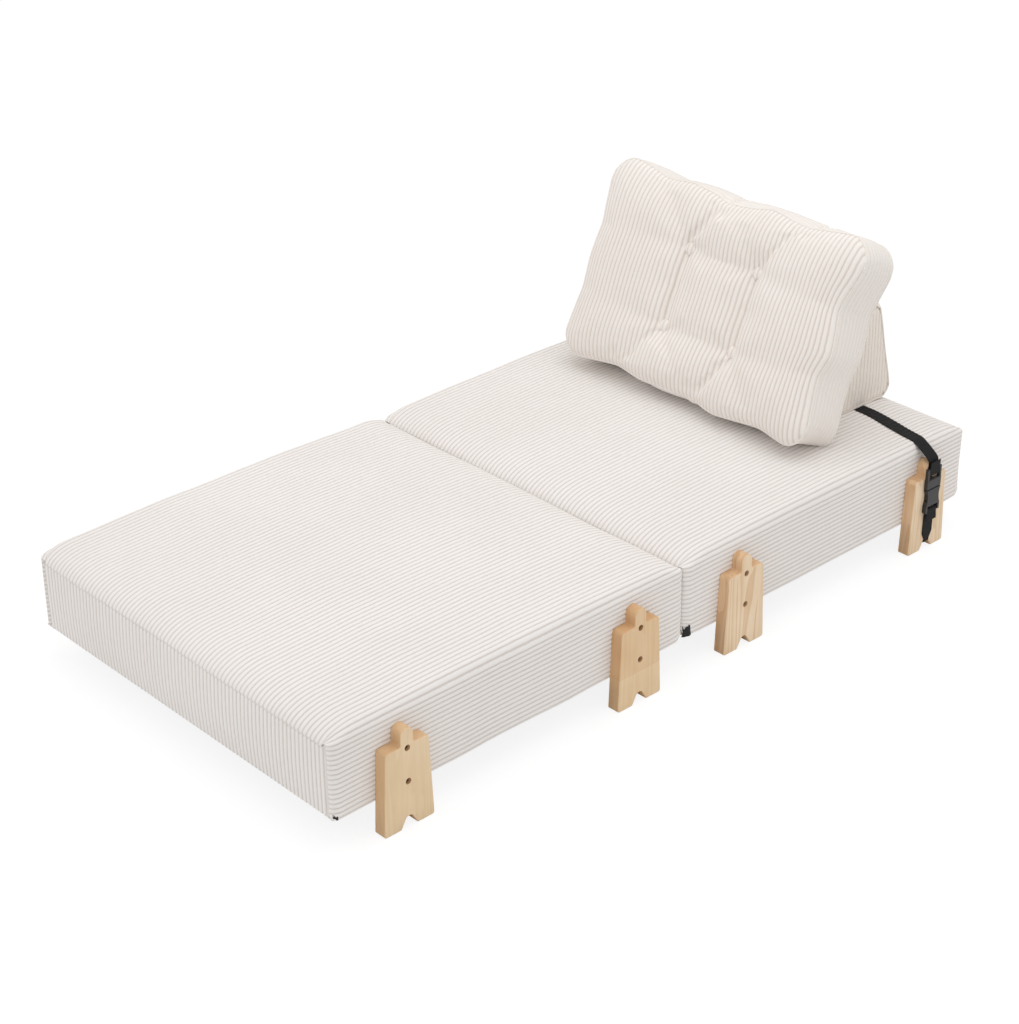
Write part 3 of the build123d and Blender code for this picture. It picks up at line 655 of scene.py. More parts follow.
for name, body, middle in (("front", "front_block", -block_middle), ("rear", "rear_block", block_middle)):
    foam = filled_slab(name + "_seat_foam", middle, *pad_size, pad_foam, [name + "_foam_pad"], body)
    band = side_band(name + "_frame_wadding", middle, *wadding_size, fibre_wadding)
    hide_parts(name + "_side_wadding")
    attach(band, body)
    low, high = middle - under_half[1], middle + under_half[1]
    under = woven_sheet(name + "_under_cloth", under_half[0], low, high, under_level, under_thick, black_cloth)
    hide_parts(name + "_base_cloth")
    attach(under, body)


def hinge_cloth():
    """Fabric hinge: a folded cloth that joins the two blocks in the crease."""
    x = np.linspace(-hinge_half, hinge_half, 91)
    path = np.array([(-0.0019, 0.2395), (-0.0018, 0.228), (-0.0014, 0.218), (0.0, 0.2145), (0.0014, 0.218),
                     (0.0018, 0.228), (0.0019, 0.2395)])
    even = np.linspace(0, len(path) - 1, 25)
    y, z = (np.interp(even, np.arange(len(path)), path[:, k]) for k in (0, 1))
    outer = np.stack(np.broadcast_arrays(x, y[:, None], z[:, None]), -1)
    inner = outer + grid_normals(outer) * hinge_thick
    along = outer[..., 0] / top_pitch
    run = run_length(outer)
    made = cloth_object("hinge_cloth", [(outer, along, run, -1), (inner, along, run, 1)], piping_cloth)
    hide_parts("front_hinge_tape", "rear_hinge_tape")
    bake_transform(made)


# Straps


def strap_route():
    """Right half of the upper strap: from the middle over the seat's edge to the buckle and its tail."""
    x = np.linspace(0, 0.474, 120)
    y = strap_line(x)
    seat = seat_height(x, y) + seat_clear
    wave = 0.0006 * np.cos(2 * np.pi * (np.abs(x) / top_pitch))
    spots = [np.stack([x, y, seat + wave], -1)]
    over = [(0.4840, 0.2690), (0.4924, 0.2648), (0.5020, 0.2588), (0.5120, 0.2522), (0.5210, 0.2457),
            (0.5280, 0.2400), (0.5318, 0.2345)]
    spots.append(np.array([(a, strap_line(a), b) for a, b in over]))
    down = [(0.5324, 0.2280), (0.5324, 0.2000), (0.5332, 0.1980), (0.5350, 0.1973), (0.5368, 0.1980),
            (0.5377, 0.2000), (0.5380, 0.2120), (0.5388, 0.2240), (0.5394, 0.2340)]
    spots.append(np.array([(a, strap_foot_y, b) for a, b in down]))
    return np.concatenate(spots)


def softened(route, rounds):
    """Route with its corners cut round."""
    for _ in range(rounds):
        near, far = route[:-1] * 0.75 + route[1:] * 0.25, route[:-1] * 0.25 + route[1:] * 0.75
        route = np.concatenate([route[:1], np.stack([near, far], 1).reshape(-1, 3), route[-1:]])
    return route


def evenly(route, step):
    """Points a step apart along a route."""
    length = np.concatenate([[0], np.cumsum(np.linalg.norm(np.diff(route, axis=0), axis=-1))])
    marks = np.linspace(0, length[-1], int(length[-1] / step) + 1)
    return np.stack([np.interp(marks, length, route[:, k]) for k in range(3)], -1), marks


def web(name, route, halves, thick, step=0.002):
    """Flat webbing along a route, its width along the bed and its selvedges round."""
    line, marks = evenly(route, step)
    ahead = unit(np.gradient(line, axis=0))
    across = unit(np.array([0.0, 1.0, 0.0]) - ahead * ahead[:, 1:2])
    out = np.cross(across, ahead)
    half = np.interp(marks / marks[-1], *halves)[:, None]
    turn = [(-1, 0), (-0.97, 0.42), (-0.90, 0.5), (-0.45, 0.5), (0, 0.5), (0.45, 0.5), (0.90, 0.5)]
    turn += [(0.97, 0.42)]
    turn += [(-a, -b) for a, b in turn] + [(-1, 0)]
    points = np.stack([line + across * half * a + out * thick * b for a, b in turn], 1)
    wale = np.array([a for a, _ in turn]) * web_half
    caps = []
    for end in (0, -1):
        flat = np.stack([points[end, :9], points[end, :7:-1]], 0)
        caps.append((flat, np.stack([wale[:9], wale[:7:-1]]), marks[end], 1 if end else -1))
    made = cloth_object(name, [(points, wale, marks[:, None], 1)] + caps, black_webbing)
    weld(made)
    return made


def make_straps():
    """Upper strap from buckle to buckle and the short lower straps through the feet."""
    half = strap_route()
    whole = np.concatenate([half[:0:-1] * np.array([-1, 1, 1]), half])
    upper = web("strap_upper", softened(whole, 2), ([0, 1], [web_half, web_half]), web_thick)
    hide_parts("upper_strap")
    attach(upper, "wedge")
    low = [(0.5394, 0.080), (0.5390, 0.089), (0.5377, 0.100), (0.5377, 0.1090), (0.5368, 0.1112),
           (0.5350, 0.1118), (0.5332, 0.1112), (0.5324, 0.1090), (0.5324, 0.101), (0.5310, 0.090),
           (0.5304, 0.080), (0.5304, 0.052), (0.5304, 0.026), (0.5300, 0.0185), (0.524, 0.0168),
           (0.492, 0.0168), (0.4872, 0.0185), (0.4870, 0.030),
           (0.4870, 0.064), (0.4850, 0.0682), (0.478, 0.0688), (0.447, 0.0688)]
    for side, name in ((1, "right"), (-1, "left")):
        route = softened(np.array([(side * x, strap_foot_y, z) for x, z in low]), 2)
        halves = ([0, 0.40, 0.47, 1], [web_half, web_half, strap_notch_half, strap_notch_half])
        lower = web("strap_lower_" + name, route, halves, web_thick)
        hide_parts("lower_strap_" + name)
        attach(lower, "rear_block")


# Wedge


def rounded_outline(corners):
    """Closed outline with round corners, each given as y, z and radius."""
    made = []
    for number, (y, z, radius) in enumerate(corners):
        here = np.array([y, z])
        back = np.array(corners[number - 1][:2]) - here
        ahead = np.array(corners[(number + 1) % len(corners)][:2]) - here
        back, ahead = back / np.linalg.norm(back), ahead / np.linalg.norm(ahead)
        half = math.acos(np.clip(back @ ahead, -1, 1)) / 2
        middle = here + (back + ahead) / np.linalg.norm(back + ahead) * radius / math.sin(half)
        start, stop = here + back * radius / math.tan(half), here + ahead * radius / math.tan(half)
        for t in np.linspace(0, 1, 9):
            spoke = start + (stop - start) * t - middle
            made.append(middle + spoke / np.linalg.norm(spoke) * radius)
    return np.array(made)


def seat_height(x, y):
    """Height of the rear block's top, for what rests on it."""
    side = np.clip(1 - (x / (half_width - side_edge)) ** 2, 0, 1)
    return seat_top + crown * side + seat_dome(x, y - block_middle)


def on_seat(points):
    """Points kept above the rear block's top."""
    points[..., 2] = np.maximum(points[..., 2], seat_height(points[..., 0], points[..., 1]) + seat_clear)
    return points


def wedge_wrap():
    """Front, top, rear and bottom of the wedge in one cloth, its wales running over the top."""
    outline = rounded_outline(wedge_corners)
    outline = np.concatenate([outline, outline[:1]])
    step = np.hypot(*np.diff(outline, axis=0).T)
    length = np.concatenate([[0], np.cumsum(step)])
    rows = np.unique(np.concatenate([length, np.arange(0, length[-1], wedge_row_step)]))
    ring = np.stack([np.interp(rows, length, outline[:, 0]), np.interp(rows, length, outline[:, 1])], -1)
    ahead = np.roll(ring[:-1], -1, axis=0) - np.roll(ring[:-1], 1, axis=0)
    ahead = unit(np.concatenate([ahead, ahead[:1]]))
    out = np.stack([-ahead[:, 1], ahead[:, 0]], -1)
    straight = wedge_half - wedge_end_round
    bend = wedge_end_round * np.pi / 2
    count = int((straight + bend) / top_pitch * wale_steps)
    wale = np.arange(-count, count + 1) / wale_steps
    reach = np.abs(wale) * top_pitch
    angle = np.clip((reach - straight) / wedge_end_round, 0, np.pi / 2)
    x = np.sign(wale) * (np.minimum(reach, straight) + wedge_end_round * np.sin(angle))
    inset = wedge_end_sink * (1 - np.cos(angle))
    x = np.concatenate([x[:1] + seam_tuck, x, x[-1:] - seam_tuck])
    inset = np.concatenate([inset[:1] + seam_sink, inset, inset[-1:] + seam_sink])
    wale = np.concatenate([wale[:1], wale, wale[-1:]])
    yz = ring[:, None, :] - out[:, None, :] * inset[None, :, None]
    points = np.concatenate([np.broadcast_to(x, yz.shape[:2])[..., None], yz], -1)
    height = wale_rise * smooth(wedge_half - np.abs(x), 0.0, 0.004)
    return points, wale, height, outline


def wedge_end(side, outline):
    """End panel of the wedge with upright wales between its seams."""
    centre = outline.mean(axis=0)
    inner = outline + unit(centre - outline) * wedge_seam_in
    y_low, y_high = inner[:, 0].min() + 0.001, inner[:, 0].max() - 0.001
    count = int((y_high - y_low) / top_pitch * wale_steps)
    y = y_low + np.arange(count + 1) * top_pitch / wale_steps
    floor, roof = np.full_like(y, 9.0), np.full_like(y, -9.0)
    for (y0, z0), (y1, z1) in zip(inner, np.roll(inner, -1, axis=0)):
        if abs(y1 - y0) < 1e-9:
            continue
        t = (y - y0) / (y1 - y0)
        hit = (t >= 0) & (t <= 1)
        z = z0 + (z1 - z0) * t
        floor = np.where(hit, np.minimum(floor, z), floor)
        roof = np.where(hit, np.maximum(roof, z), roof)
    steps = 0.5 - 0.5 * np.cos(np.linspace(0, np.pi, 26))
    z = floor + (roof - floor) * steps[:, None]
    grid_y = np.broadcast_to(y, z.shape)
    flat = np.stack([grid_y, z], -1)
    gap = np.full(z.shape, 9.0)
    for start, stop in zip(inner, np.roll(inner, -1, axis=0)):
        along = stop - start
        t = np.clip(((flat - start) @ along) / max(along @ along, 1e-12), 0, 1)
        gap = np.minimum(gap, np.linalg.norm(flat - start - t[..., None] * along, axis=-1))
    depth = wedge_half - seam_tuck * (1 - smooth(gap, 0.0, 0.006)) + 0.004 * smooth(gap, 0.0, 0.07)
    points = np.stack([side * depth, grid_y, z], -1)
    return points, np.arange(count + 1) / wale_steps, wale_rise * smooth(gap, 0.0, 0.005)


def make_wedge():
    """Whole cover of the wedge."""
    points, wale, height, outline = wedge_wrap()
    points = points + grid_normals(points) * (wedge_uneven * ripple(points, wedge_wave, 8))[..., None]
    points = on_seat(points)
    panels = [(raised(points, wale, height), wale, run_length(points), 1)]
    for side in (-1, 1):
        points, wale, height = wedge_end(side, outline)
        points = on_seat(points)
        panels.append((raised(points, wale, height, side), wale, run_length(points), side))
    # The wedge's colour holds painted warm shade.
    made = cloth_object("wedge_cloth", panels, wedge_corduroy)
    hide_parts("wedge_cover")
    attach(made, "wedge")


def make_wedge_filling():
    """Foam of the wedge, closed, a little inside its cover."""
    outline = rounded_outline(wedge_corners)
    centre = outline.mean(axis=0)
    inner = outline + unit(centre - outline) * wedge_foam_in
    inner[:, 1] = np.maximum(inner[:, 1], seat_top + crown + dome + 0.003)
    ring = np.concatenate([inner, inner[:1]])
    half = wedge_half - 0.007
    rows = [(0.0, -half), (0.5, -half), (0.96, -half), (0.99, -half + 0.004), (1.0, -half + 0.011)]
    rows += [(1.0, x) for x in np.linspace(-half + 0.011, half - 0.011, 12)[1:-1]]
    rows += [(share, -x) for share, x in rows[4::-1]]
    across = [np.full((len(ring), 1), x) for _, x in rows]
    slices = [centre + (ring - centre) * share for share, _ in rows]
    points = np.array([np.concatenate(pair, -1) for pair in zip(across, slices)])
    made = cloth_object("wedge_filling", [(points, np.arange(len(ring)), run_length(points), 1)], pad_foam)
    weld(made)
    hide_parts("wedge_foam")
    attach(made, "wedge")


def zip_end_cloth(name, middle, size, seed):
    """Small crumpled end of the zip's black cloth that sticks out at a bottom corner."""
    t, u = np.meshgrid(np.linspace(0, 1, 13), np.linspace(0, 1, 9))
    chance = np.random.default_rng(seed)
    torn = np.interp(t[0], np.linspace(0, 1, 7), chance.uniform(0.45, 1.0, 7))
    gap = 0.002 + size * t * (1 - 0.25 * u)
    high = 1.7 * size
    tall = underside + 0.002 + high * u * torn
    bend = np.clip(1 - gap / corner_reach, 0, 1)
    low = np.clip(1 - (tall - underside) / heel, 0, 1)
    across = half_width + 0.0012 - corner_drop * (1 - np.sqrt(1 - bend ** 2))
    across = across - heel * (1 - np.sqrt(1 - low ** 2))
    across = across + 0.0006 * np.sin(9 * t + 4 * u)
    along = middle - half_length + gap
    outer = np.stack([across, along, tall], -1)
    inner = outer - np.array([0.0011, -0.0002, 0.0])
    made = cloth_object(name, [(outer, t, u, 1), (inner, t, u, -1)], black_cloth)
    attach(made, "front_block" if middle < 0 else "rear_block")


make_wedge_filling()
zip_end_cloth("front_zip_end", -block_middle, zip_end_sizes[0], 5)
zip_end_cloth("rear_zip_end", block_middle, zip_end_sizes[1], 9)
make_wedge()
hinge_cloth()
make_straps()


# Cushion


top_seam = [(-0.40, 20), (-0.36, 20), (-0.30, 15), (-0.225, -3), (-0.155, 8), (-0.09, -4),
            (-0.035, -17), (0.03, -8), (0.105, 8), (0.165, -1), (0.212, -7), (0.27, 5), (0.33, 16),
            (0.36, 16), (0.40, 12)]
bottom_seam = [(-0.40, 8), (-0.36, 7), (-0.30, 2), (-0.205, -11), (-0.12, 3), (-0.04, -1),
               (0.036, -9), (0.126, 8), (0.20, 0), (0.255, -6), (0.32, 7), (0.36, 12), (0.40, 12)]
right_seam = [(-0.25, 10), (-0.205, 4), (-0.163, -2), (-0.118, -11), (-0.075, -17), (-0.021, 3),
              (0.031, -7), (0.082, -21), (0.121, -12), (0.166, 6), (0.20, 12), (0.25, 14)]
left_seam = [(-0.25, 16), (-0.205, 15), (-0.15, 11), (-0.080, 4), (0.0, 12), (0.085, 6), (0.13, 14),
             (0.20, 22), (0.25, 22)]


def seam_swell(marks, along):
    """Smooth outward swell of a seam between its marked places, in metres."""
    places, depths = np.array(marks, float).T
    fine = np.linspace(places[0], places[-1], 400)
    level = np.interp(fine, places, depths)
    reach = np.exp(-np.linspace(-2, 2, 41) ** 2)
    padded = np.pad(level, 20, mode="edge")
    return np.interp(along, fine, np.convolve(padded, reach / reach.sum(), mode="valid")) * seam_scale


def cushion_limits(a):
    """Upper edge of the cushion's plain outline at a place across it."""
    wide, high = cushion_half
    over = np.clip(np.abs(a) - (wide - cushion_corner), 0, cushion_corner)
    return high - cushion_corner + np.sqrt(np.maximum(cushion_corner ** 2 - over ** 2, 0))


def segment_gap(a, b, start, stop):
    """Distance from points to a line between two spots, and how far along it they are."""
    ax, ay = stop[0] - start[0], stop[1] - start[1]
    t = np.clip(((a - start[0]) * ax + (b - start[1]) * ay) / (ax * ax + ay * ay), 0, 1)
    return np.hypot(a - start[0] - t * ax, b - start[1] - t * ay), t


def cushion_folds(a, b):
    """Depth of the soft folds that run from button to button and out to the seams."""
    cut = np.zeros_like(a)
    folds = [((0, 2), 0.030, 0.021, 0.034), ((1, 3), 0.030, 0.022, 0.036),
             ((0, 1), 0.019, 0.008, 0.036), ((2, 3), 0.018, 0.007, 0.036)]
    for (first, second), deep, shallow, wide in folds:
        start, stop = np.array(button_spots[first]), np.array(button_spots[second])
        for near, far in ((start, (start + stop) / 2), (stop, (start + stop) / 2)):
            gap, t = segment_gap(a, b, near, far)
            cut += ((deep + (shallow - deep) * t) * np.exp(-(gap / (wide * (0.6 + 0.5 * t))) ** 1.4)) ** 3
    rays = [(0, (-0.225, 0.245), 0.010), (0, (-0.035, 0.245), 0.005), (1, (-0.005, 0.245), 0.004),
            (1, (0.212, 0.245), 0.009), (2, (-0.205, -0.245), 0.010), (2, (0.036, -0.245), 0.004),
            (3, (0.055, -0.245), 0.006), (3, (0.255, -0.245), 0.007), (1, (0.39, 0.082), 0.003),
            (3, (0.39, -0.075), 0.003), (0, (-0.39, 0.085), 0.001), (2, (-0.39, -0.080), 0.001)]
    for button, stop, shallow in rays:
        gap, t = segment_gap(a, b, button_spots[button], stop)
        depth = 0.012 + (shallow - 0.012) * t ** 0.6
        cut += (depth * np.exp(-(gap / (0.034 * (0.7 + 0.9 * t))) ** 1.5)) ** 3
    return cut ** (1 / 3)


def cushion_face(a, b, edge_gap):
    """Height of the front or back out of the cushion's middle plane."""
    t = np.clip(edge_gap / cushion_roll, 0, 1)
    height = gusset_half + cushion_puff * np.sqrt(1 - (1 - t) ** 2.2)
    height -= cushion_folds(a, b) * smooth(edge_gap, 0.0, 0.05)
    for spot in button_spots:
        away = np.hypot(a - spot[0], b - spot[1])
        dent = np.exp(-(away / button_dent) ** 1.2)
        height = height + (button_floor - height) * dent
    return np.maximum(height, gusset_half - 0.002)


def cushion_plan(cols, rows):
    """Flat plan of one panel: across and up, with its columns along the wales."""
    t = np.linspace(-1, 1, cols)
    wide = cushion_half[0]
    a = wide * np.sin(t * np.pi / 2 * plan_arc) / math.sin(np.pi / 2 * plan_arc)
    high = cushion_limits(a)
    b = np.linspace(-1, 1, rows)[:, None] * high
    across = np.broadcast_to(a, b.shape) * (1 + 0 * b)
    side = (np.abs(across) / wide) ** 5
    end = (np.abs(b) / cushion_half[1]) ** 5
    move_a = np.where(across > 0, seam_swell(right_seam, b), -seam_swell(left_seam, b)) * side
    move_b = np.where(b > 0, seam_swell(top_seam, across), -seam_swell(bottom_seam, across)) * end
    return across, b, across + move_a, b + move_b


def rounded_gap(a, b):
    """Distance in from the cushion's seam."""
    qx = np.abs(a) - (cushion_half[0] - cushion_corner)
    qy = np.abs(b) - (cushion_half[1] - cushion_corner)
    outside = np.hypot(np.maximum(qx, 0), np.maximum(qy, 0)) + np.minimum(np.maximum(qx, qy), 0)
    return np.maximum(cushion_corner - outside, 0)


def cushion_cage(cols, rows, layers):
    """Closed starting shape of the cushion as grids: front, back and the ring between their seams."""
    plain_a, plain_b, a, b = cushion_plan(cols, rows)
    gap = rounded_gap(plain_a, plain_b)
    front = np.stack([a, b, cushion_face(a, b, gap)], -1)
    back = np.stack([(a + plain_a) / 2, (b + plain_b) / 2, -cushion_face(a, b, gap)], -1)
    front_edge, back_edge = border(front), border(back)
    ring = []
    for t in np.linspace(0, 1, layers):
        loop = front_edge + (back_edge - front_edge) * t
        belly = math.sin(math.pi * t) * (1 - 2.2 * smooth(-front_edge[:, 1], 0.16, 0.23))
        loop = loop * (1 + np.stack([0.010 * belly, 0.014 * belly, 0 * belly], -1))
        ring.append(loop)
    return front, back, np.array(ring)


def blow_up(front, back, ring):
    """Cloth simulation of the filled cushion, its buttons held; gives the grids back."""
    rows, cols = front.shape[:2]
    count = rows * cols
    index = np.arange(count).reshape(rows, cols)
    loop = border(index[..., None])[:, 0]
    inner = ring[1:-1]
    ring_index = 2 * count + np.arange(inner.shape[0] * inner.shape[1]).reshape(inner.shape[:2])
    ring_index = np.concatenate([loop[None], ring_index, loop[None] + count])
    points = np.concatenate([front.reshape(-1, 3), back.reshape(-1, 3), inner.reshape(-1, 3)])
    quads = [grid_quads(index)]
    quads.append(quads[0][:, ::-1] + count)
    following = np.roll(ring_index, -1, axis=1)
    quads.append(np.stack([ring_index[:-1], ring_index[1:], following[1:], following[:-1]], -1).reshape(-1, 4))
    quads = np.concatenate(quads)
    mesh = bpy.data.meshes.new("cushion_filled")
    mesh.from_pydata(points.tolist(), [], quads.tolist())
    mesh.update()
    body = linked("cushion_filled", mesh)
    held = body.vertex_groups.new(name="held")
    flat = points[:2 * count]
    for spot in button_spots:
        away = np.hypot(flat[:, 0] - spot[0], flat[:, 1] - spot[1])
        held.add([int(i) for i in np.nonzero(away < 0.010)[0]], 1.0, "REPLACE")
    cloth = body.modifiers.new("cloth", "CLOTH")
    setting = cloth.settings
    for key, value in dict(quality=8, mass=0.4, tension_stiffness=22, compression_stiffness=12,
                           shear_stiffness=8, bending_stiffness=0.6, tension_damping=12, air_damping=2,
                           use_pressure=True, uniform_pressure_force=fill_pressure,
                           vertex_group_mass="held").items():
        setattr(setting, key, value)
    setting.effector_weights.gravity = 0
    cloth.collision_settings.use_collision = False
    scene = bpy.context.scene
    cloth.point_cache.frame_start, cloth.point_cache.frame_end = 1, settle_frames
    for number in range(1, settle_frames + 1):
        scene.frame_set(number)
    shape = body.evaluated_get(bpy.context.evaluated_depsgraph_get())
    moved = np.zeros(len(points) * 3, np.float32)
    shape.data.vertices.foreach_get("co", moved)
    moved = moved.reshape(-1, 3).astype(float) - points
    far = np.linalg.norm(moved, axis=-1, keepdims=True)
    moved *= np.minimum(1, settle_reach / np.maximum(far, 1e-9))
    scene.frame_set(1)
    bpy.data.objects.remove(body)
    bpy.data.meshes.remove(mesh)
    points = points + moved
    front, back = points[:count].reshape(rows, cols, 3), points[count:2 * count].reshape(rows, cols, 3)
    return front, back, points[ring_index]


def curve_weights(old, new):
    """Matrix that reads new evenly spread samples from old ones along a smooth curve."""
    place = np.linspace(0, old - 1, new)
    low = np.clip(place.astype(int), 0, old - 2)
    t = place - low
    weights = np.zeros((new, old))
    parts = [(-1, (-t + 2 * t ** 2 - t ** 3) / 2), (0, (2 - 5 * t ** 2 + 3 * t ** 3) / 2)]
    parts += [(1, (t + 4 * t ** 2 - 3 * t ** 3) / 2), (2, (-t ** 2 + t ** 3) / 2)]
    for shift, part in parts:
        where = low + shift
        for row in range(new):
            spot, share = where[row], part[row]
            if spot < 0:
                weights[row, 0] += 2 * share
                weights[row, 1] -= share
            elif spot > old - 1:
                weights[row, old - 1] += 2 * share
                weights[row, old - 2] -= share
            else:
                weights[row, spot] += share
    return weights


def refined(grid, rows, cols):
    """Grid with more rows and columns on the same smooth surface."""
    grid = np.einsum("ij,jkl->ikl", curve_weights(grid.shape[0], rows), grid)
    return np.einsum("ij,kjl->kil", curve_weights(grid.shape[1], cols), grid)


def to_bed(points):
    """From the cushion's own across, up and out to the bed, resting on the seat."""
    placed = cushion_middle + points[..., :1] * cushion_across
    placed = placed + points[..., 1:2] * cushion_up + points[..., 2:] * cushion_out
    low = seat_height(placed[..., 0], placed[..., 1]) + cushion_clear
    placed[..., 2] = low + np.logaddexp(0, (placed[..., 2] - low) / cushion_give) * cushion_give
    return placed


def make_cushion():
    """The loose cushion: two tufted faces, the strip round them and their piping."""
    front, back, ring = cushion_cage(cage_cols, cage_rows, cage_layers)
    front, back, ring = blow_up(front, back, ring)
    steps = int(2 * cushion_half[0] / cushion_pitch) * wale_steps
    fine_cols = 4 * cage_cols
    plan_a = cushion_plan(cage_cols, cage_rows)[0][cage_rows // 2]
    dense_a = refined(np.broadcast_to(plan_a[None, :, None], (2, cage_cols, 3)).copy(), 2, fine_cols)[0, :, 0]
    even = np.linspace(plan_a[0], plan_a[-1], steps + 1)
    wale = np.arange(steps + 1) / wale_steps
    side_gap = from_edge(steps + 1) / steps * panel_span[0]
    row_gap = from_edge(face_rows) / (face_rows - 1) * panel_span[1]
    gap = np.minimum(side_gap, row_gap[:, None])
    height = wale_rise * (0.25 + 0.75 * smooth(gap, 0.0, 0.010))
    for name, grid, facing in (("cushion_front", front, 1), ("cushion_back", back, -1)):
        dense = refined(grid, face_rows, fine_cols)
        lines = [[np.interp(even, dense_a, row[:, k]) for k in range(3)] for row in dense]
        sheet = to_bed(np.stack([np.stack(line, -1) for line in lines]))
        panel = raised(sheet, wale, height, facing)
        made = cloth_object(name, [(panel, wale, run_length(sheet), facing)], cushion_corduroy)
        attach(made, "cushion")
    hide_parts("cushion_front_panel", "cushion_filling")
    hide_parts("cushion_back_panel")
    closed = np.concatenate([ring, ring[:, :1]], axis=1)
    layers = strip_wales * wale_steps + 1
    strip = to_bed(refined(closed, layers, 2 * closed.shape[1]))
    wale = (np.arange(layers) / wale_steps)[:, None]
    strip = raised(strip, wale, (wale_rise * 0.45 * smooth(from_edge(layers), 0, 6))[:, None])
    run = run_length(strip.transpose(1, 0, 2)).T
    # The strip's colour holds painted warm shade.
    made = cloth_object("cushion_strip", [(strip, wale, run, 1)], strip_corduroy)
    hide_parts("cushion_gusset")
    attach(made, "cushion")
    for side, loop in (("front", closed[0]), ("back", closed[-1])):
        line = to_bed(refined(loop[None].repeat(2, 0), 2, 3 * len(loop))[0])
        made = tube("cushion_piping_" + side, line[:-1], piping_radius, piping_cloth)
        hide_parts("cushion_" + side + "_piping")
        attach(made, "cushion")


def tube(name, line, radius, material, sides=8):
    """Round tube along a closed line of points."""
    ahead = unit(np.roll(line, -1, 0) - np.roll(line, 1, 0))
    first = unit(np.cross(ahead, [0.3, 0.5, 0.81]))
    second = np.cross(ahead, first)
    turn = np.linspace(0, 2 * np.pi, sides + 1)
    spoke = first[:, None] * np.cos(turn)[:, None] + second[:, None] * np.sin(turn)[:, None]
    points = line[:, None] + radius * spoke
    points = np.concatenate([points, points[:1]])
    return cloth_object(name, [(points, turn / (2 * np.pi), run_length(points), -1)], material)


def make_buttons():
    """Cloth-covered buttons that tie the cushion through, front and back."""
    profile = [(0.0, 1.0), (0.25, 0.98), (0.5, 0.90), (0.75, 0.72), (0.92, 0.45), (1.0, 0.18), (0.93, -0.05),
               (0.0, -0.15)]
    shares, rises = (np.interp(np.linspace(0, 7, 29), np.arange(8), column) for column in zip(*profile))
    turn = np.linspace(0, 2 * np.pi, 41)
    panels = []
    for facing in (1, -1):
        for spot in button_spots:
            across = spot[0] + button_radius * shares[:, None] * np.cos(turn)
            upward = spot[1] + button_radius * shares[:, None] * np.sin(turn)
            wale = across / cushion_pitch
            groove = (1 - wale_crest(wale)) * button_groove * smooth(rises, 0.1, 0.6)[:, None]
            away = button_floor + button_rise * rises[:, None] - groove
            panels.append((to_bed(np.stack([across, upward, facing * away], -1)), wale, upward, facing))
    made = cloth_object("cushion_covered_buttons", panels, cushion_corduroy)
    weld(made)
    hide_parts("cushion_buttons")
    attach(made, "cushion")


make_cushion()
make_buttons()


# Finishes of the pieces that keep their shape

light_pine, dark_pine = (0.89, 0.72, 0.52), (0.71, 0.49, 0.29)
feet = [("front_foot_toe_right", 1.0, (0.84, 0.66, 0.44), (0.70, 0.50, 0.29), 0.16, None),
        ("front_foot_head_right", 2.3, (0.85, 0.66, 0.43), (0.70, 0.46, 0.25), 0.14, 0.078),
        ("rear_foot_toe_right", 3.1, light_pine, dark_pine, 0.42, None),
        ("rear_foot_head_right", 4.7, light_pine, dark_pine, 0.34, None),
        ("front_foot_toe_left", 5.2, light_pine, dark_pine, 0.25, None),
        ("front_foot_head_left", 6.9, light_pine, dark_pine, 0.30, 0.120),
        ("rear_foot_toe_left", 7.4, light_pine, dark_pine, 0.36, None),
        ("rear_foot_head_left", 8.8, light_pine, dark_pine, 0.20, None)]
finishes = {foot[0]: foot_wood("foot_wood_%d" % number, *foot[1:]) for number, foot in enumerate(feet, 1)}
for key, finish in [("zip_slider", black_metal), ("zip_pull", black_metal), ("foot_bolts", bolt_steel),
                    ("foot_inserts", insert_brass), ("side_rails", frame_pine), ("centre_rail", frame_pine),
                    ("end_rails", slat_pine), ("slats", slat_pine), ("foam", pad_foam),
                    ("wadding", fibre_wadding), ("filling", fibre_wadding), ("buckle", buckle_plastic),
                    ("tuft_cords", button_thread), ("strap", black_cloth), ("base_cloth", black_cloth),
                    ("zip", black_cloth), ("hinge_tape", piping_cloth), ("buttons", piping_cloth)]:
    for name in nodes:
        if key in name and name not in finishes:
            finishes[name] = finish
for name, finish in finishes.items():
    nodes[name].data.materials.clear()
    nodes[name].data.materials.append(finish)

# Camera, light and floor

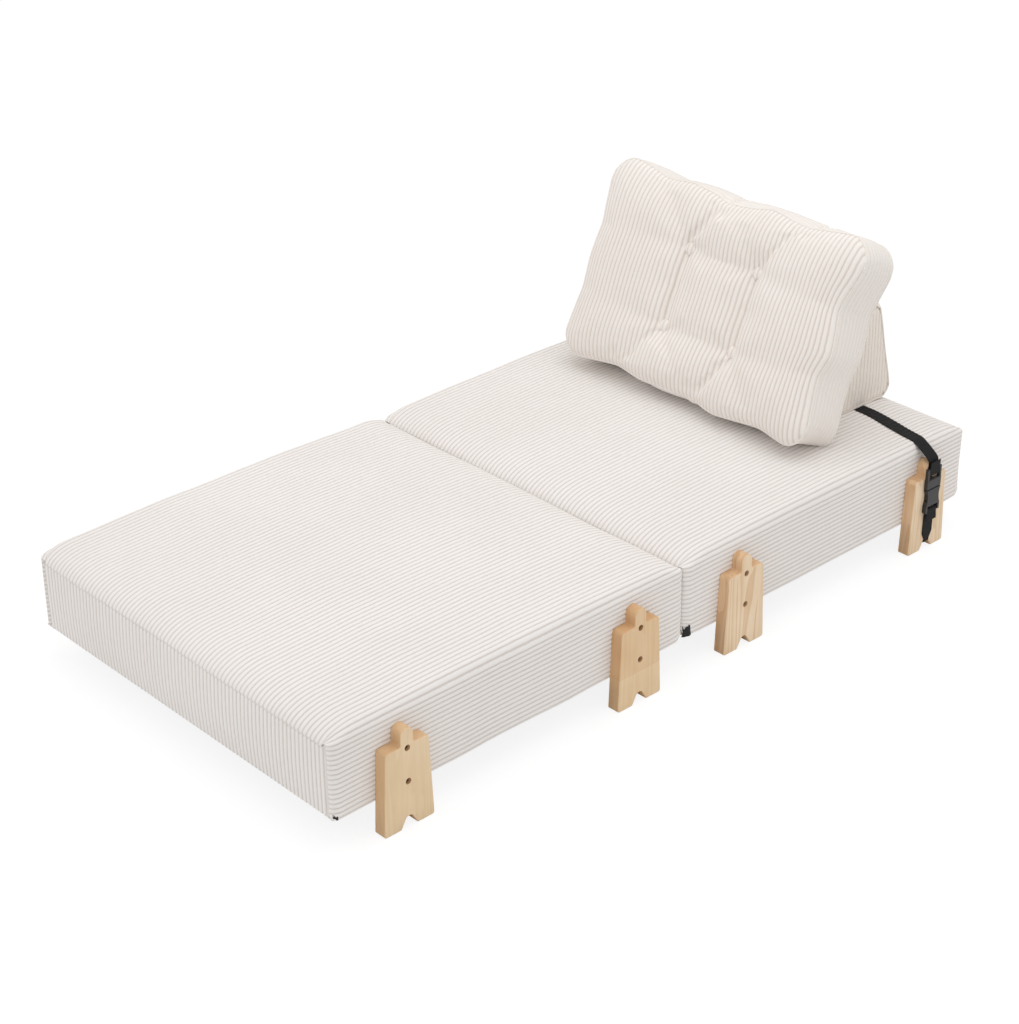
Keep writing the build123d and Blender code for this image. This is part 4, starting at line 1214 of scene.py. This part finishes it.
camera_place = Vector((3.31068, -3.07716, 2.64508))
camera_aim = Vector((-0.27746, 0.20936, 0.0))
camera_roll = -0.00966
camera_lens = 79.877
ahead = (camera_aim - camera_place).normalized()
right = ahead.cross(Vector((0, 0, 1))).normalized()
up = right.cross(ahead)
rolled_right = right * math.cos(camera_roll) + up * math.sin(camera_roll)
rolled_up = up * math.cos(camera_roll) - right * math.sin(camera_roll)
lens = bpy.data.cameras.new("camera")
lens.sensor_width = 36
lens.lens = camera_lens
lens.clip_end = 60
camera = linked("camera", lens)
turned = Matrix((rolled_right, rolled_up, -ahead)).transposed().to_4x4()
camera.matrix_world = Matrix.Translation(camera_place) @ turned
bpy.context.scene.camera = camera


def lamp(name, place, aim, size, power):
    """Soft square lamp."""
    data = bpy.data.lights.new(name, "AREA")
    data.size = size
    data.energy = power
    made = linked(name, data)
    made.location = place
    made.rotation_euler = (Vector(aim) - Vector(place)).to_track_quat("-Z", "Y").to_euler()


lamp("key_lamp", (-1.6, -3.2, 3.4), (0, 0, 0.2), 2.6, 17)
lamp("top_lamp", (0.4, 0.4, 4.0), (0, 0, 0.2), 3.5, 45)

world = bpy.data.worlds.new("studio")
bpy.context.scene.world = world
world.use_nodes = True
room = world.node_tree
room.nodes.clear()
rays = node(room, "ShaderNodeLightPath").outputs
seen = maths(room, "MAXIMUM", rays["Is Camera Ray"], rays["Is Transmission Ray"])
room_light = node(room, "ShaderNodeBackground", {0: (0.995, 0.985, 0.975, 1), 1: 0.77}).outputs[0]
white_wall = node(room, "ShaderNodeBackground", {0: (1, 1, 1, 1), 1: 1.0}).outputs[0]
pick = node(room, "ShaderNodeMixShader", {0: seen, 1: room_light, 2: white_wall}).outputs[0]
node(room, "ShaderNodeOutputWorld", {0: pick})

bpy.ops.mesh.primitive_circle_add(vertices=96, radius=14, fill_type="NGON", location=(0, 0, -0.0004))
floor = bpy.context.object
floor.name = "floor"
floor_paint, paint, floor_base = shader("floor_paint")
fill(paint, floor_base, {"Base Color": (0.92, 0.92, 0.92, 1), "Roughness": 0.9})
share = maths(paint, "MULTIPLY", node(paint, "ShaderNodeLightPath").outputs["Is Camera Ray"], 0.80)
glow = node(paint, "ShaderNodeEmission", {0: (1, 1, 1, 1), 1: 1.08}).outputs[0]
both = node(paint, "ShaderNodeMixShader", {0: share, 1: floor_base.outputs[0], 2: glow}).outputs[0]
fill(paint, paint.nodes["Material Output"], {0: both})
floor.data.materials.append(floor_paint)
floor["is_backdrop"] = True

scene = bpy.context.scene
scene.view_settings.view_transform = "Standard"

low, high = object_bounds()
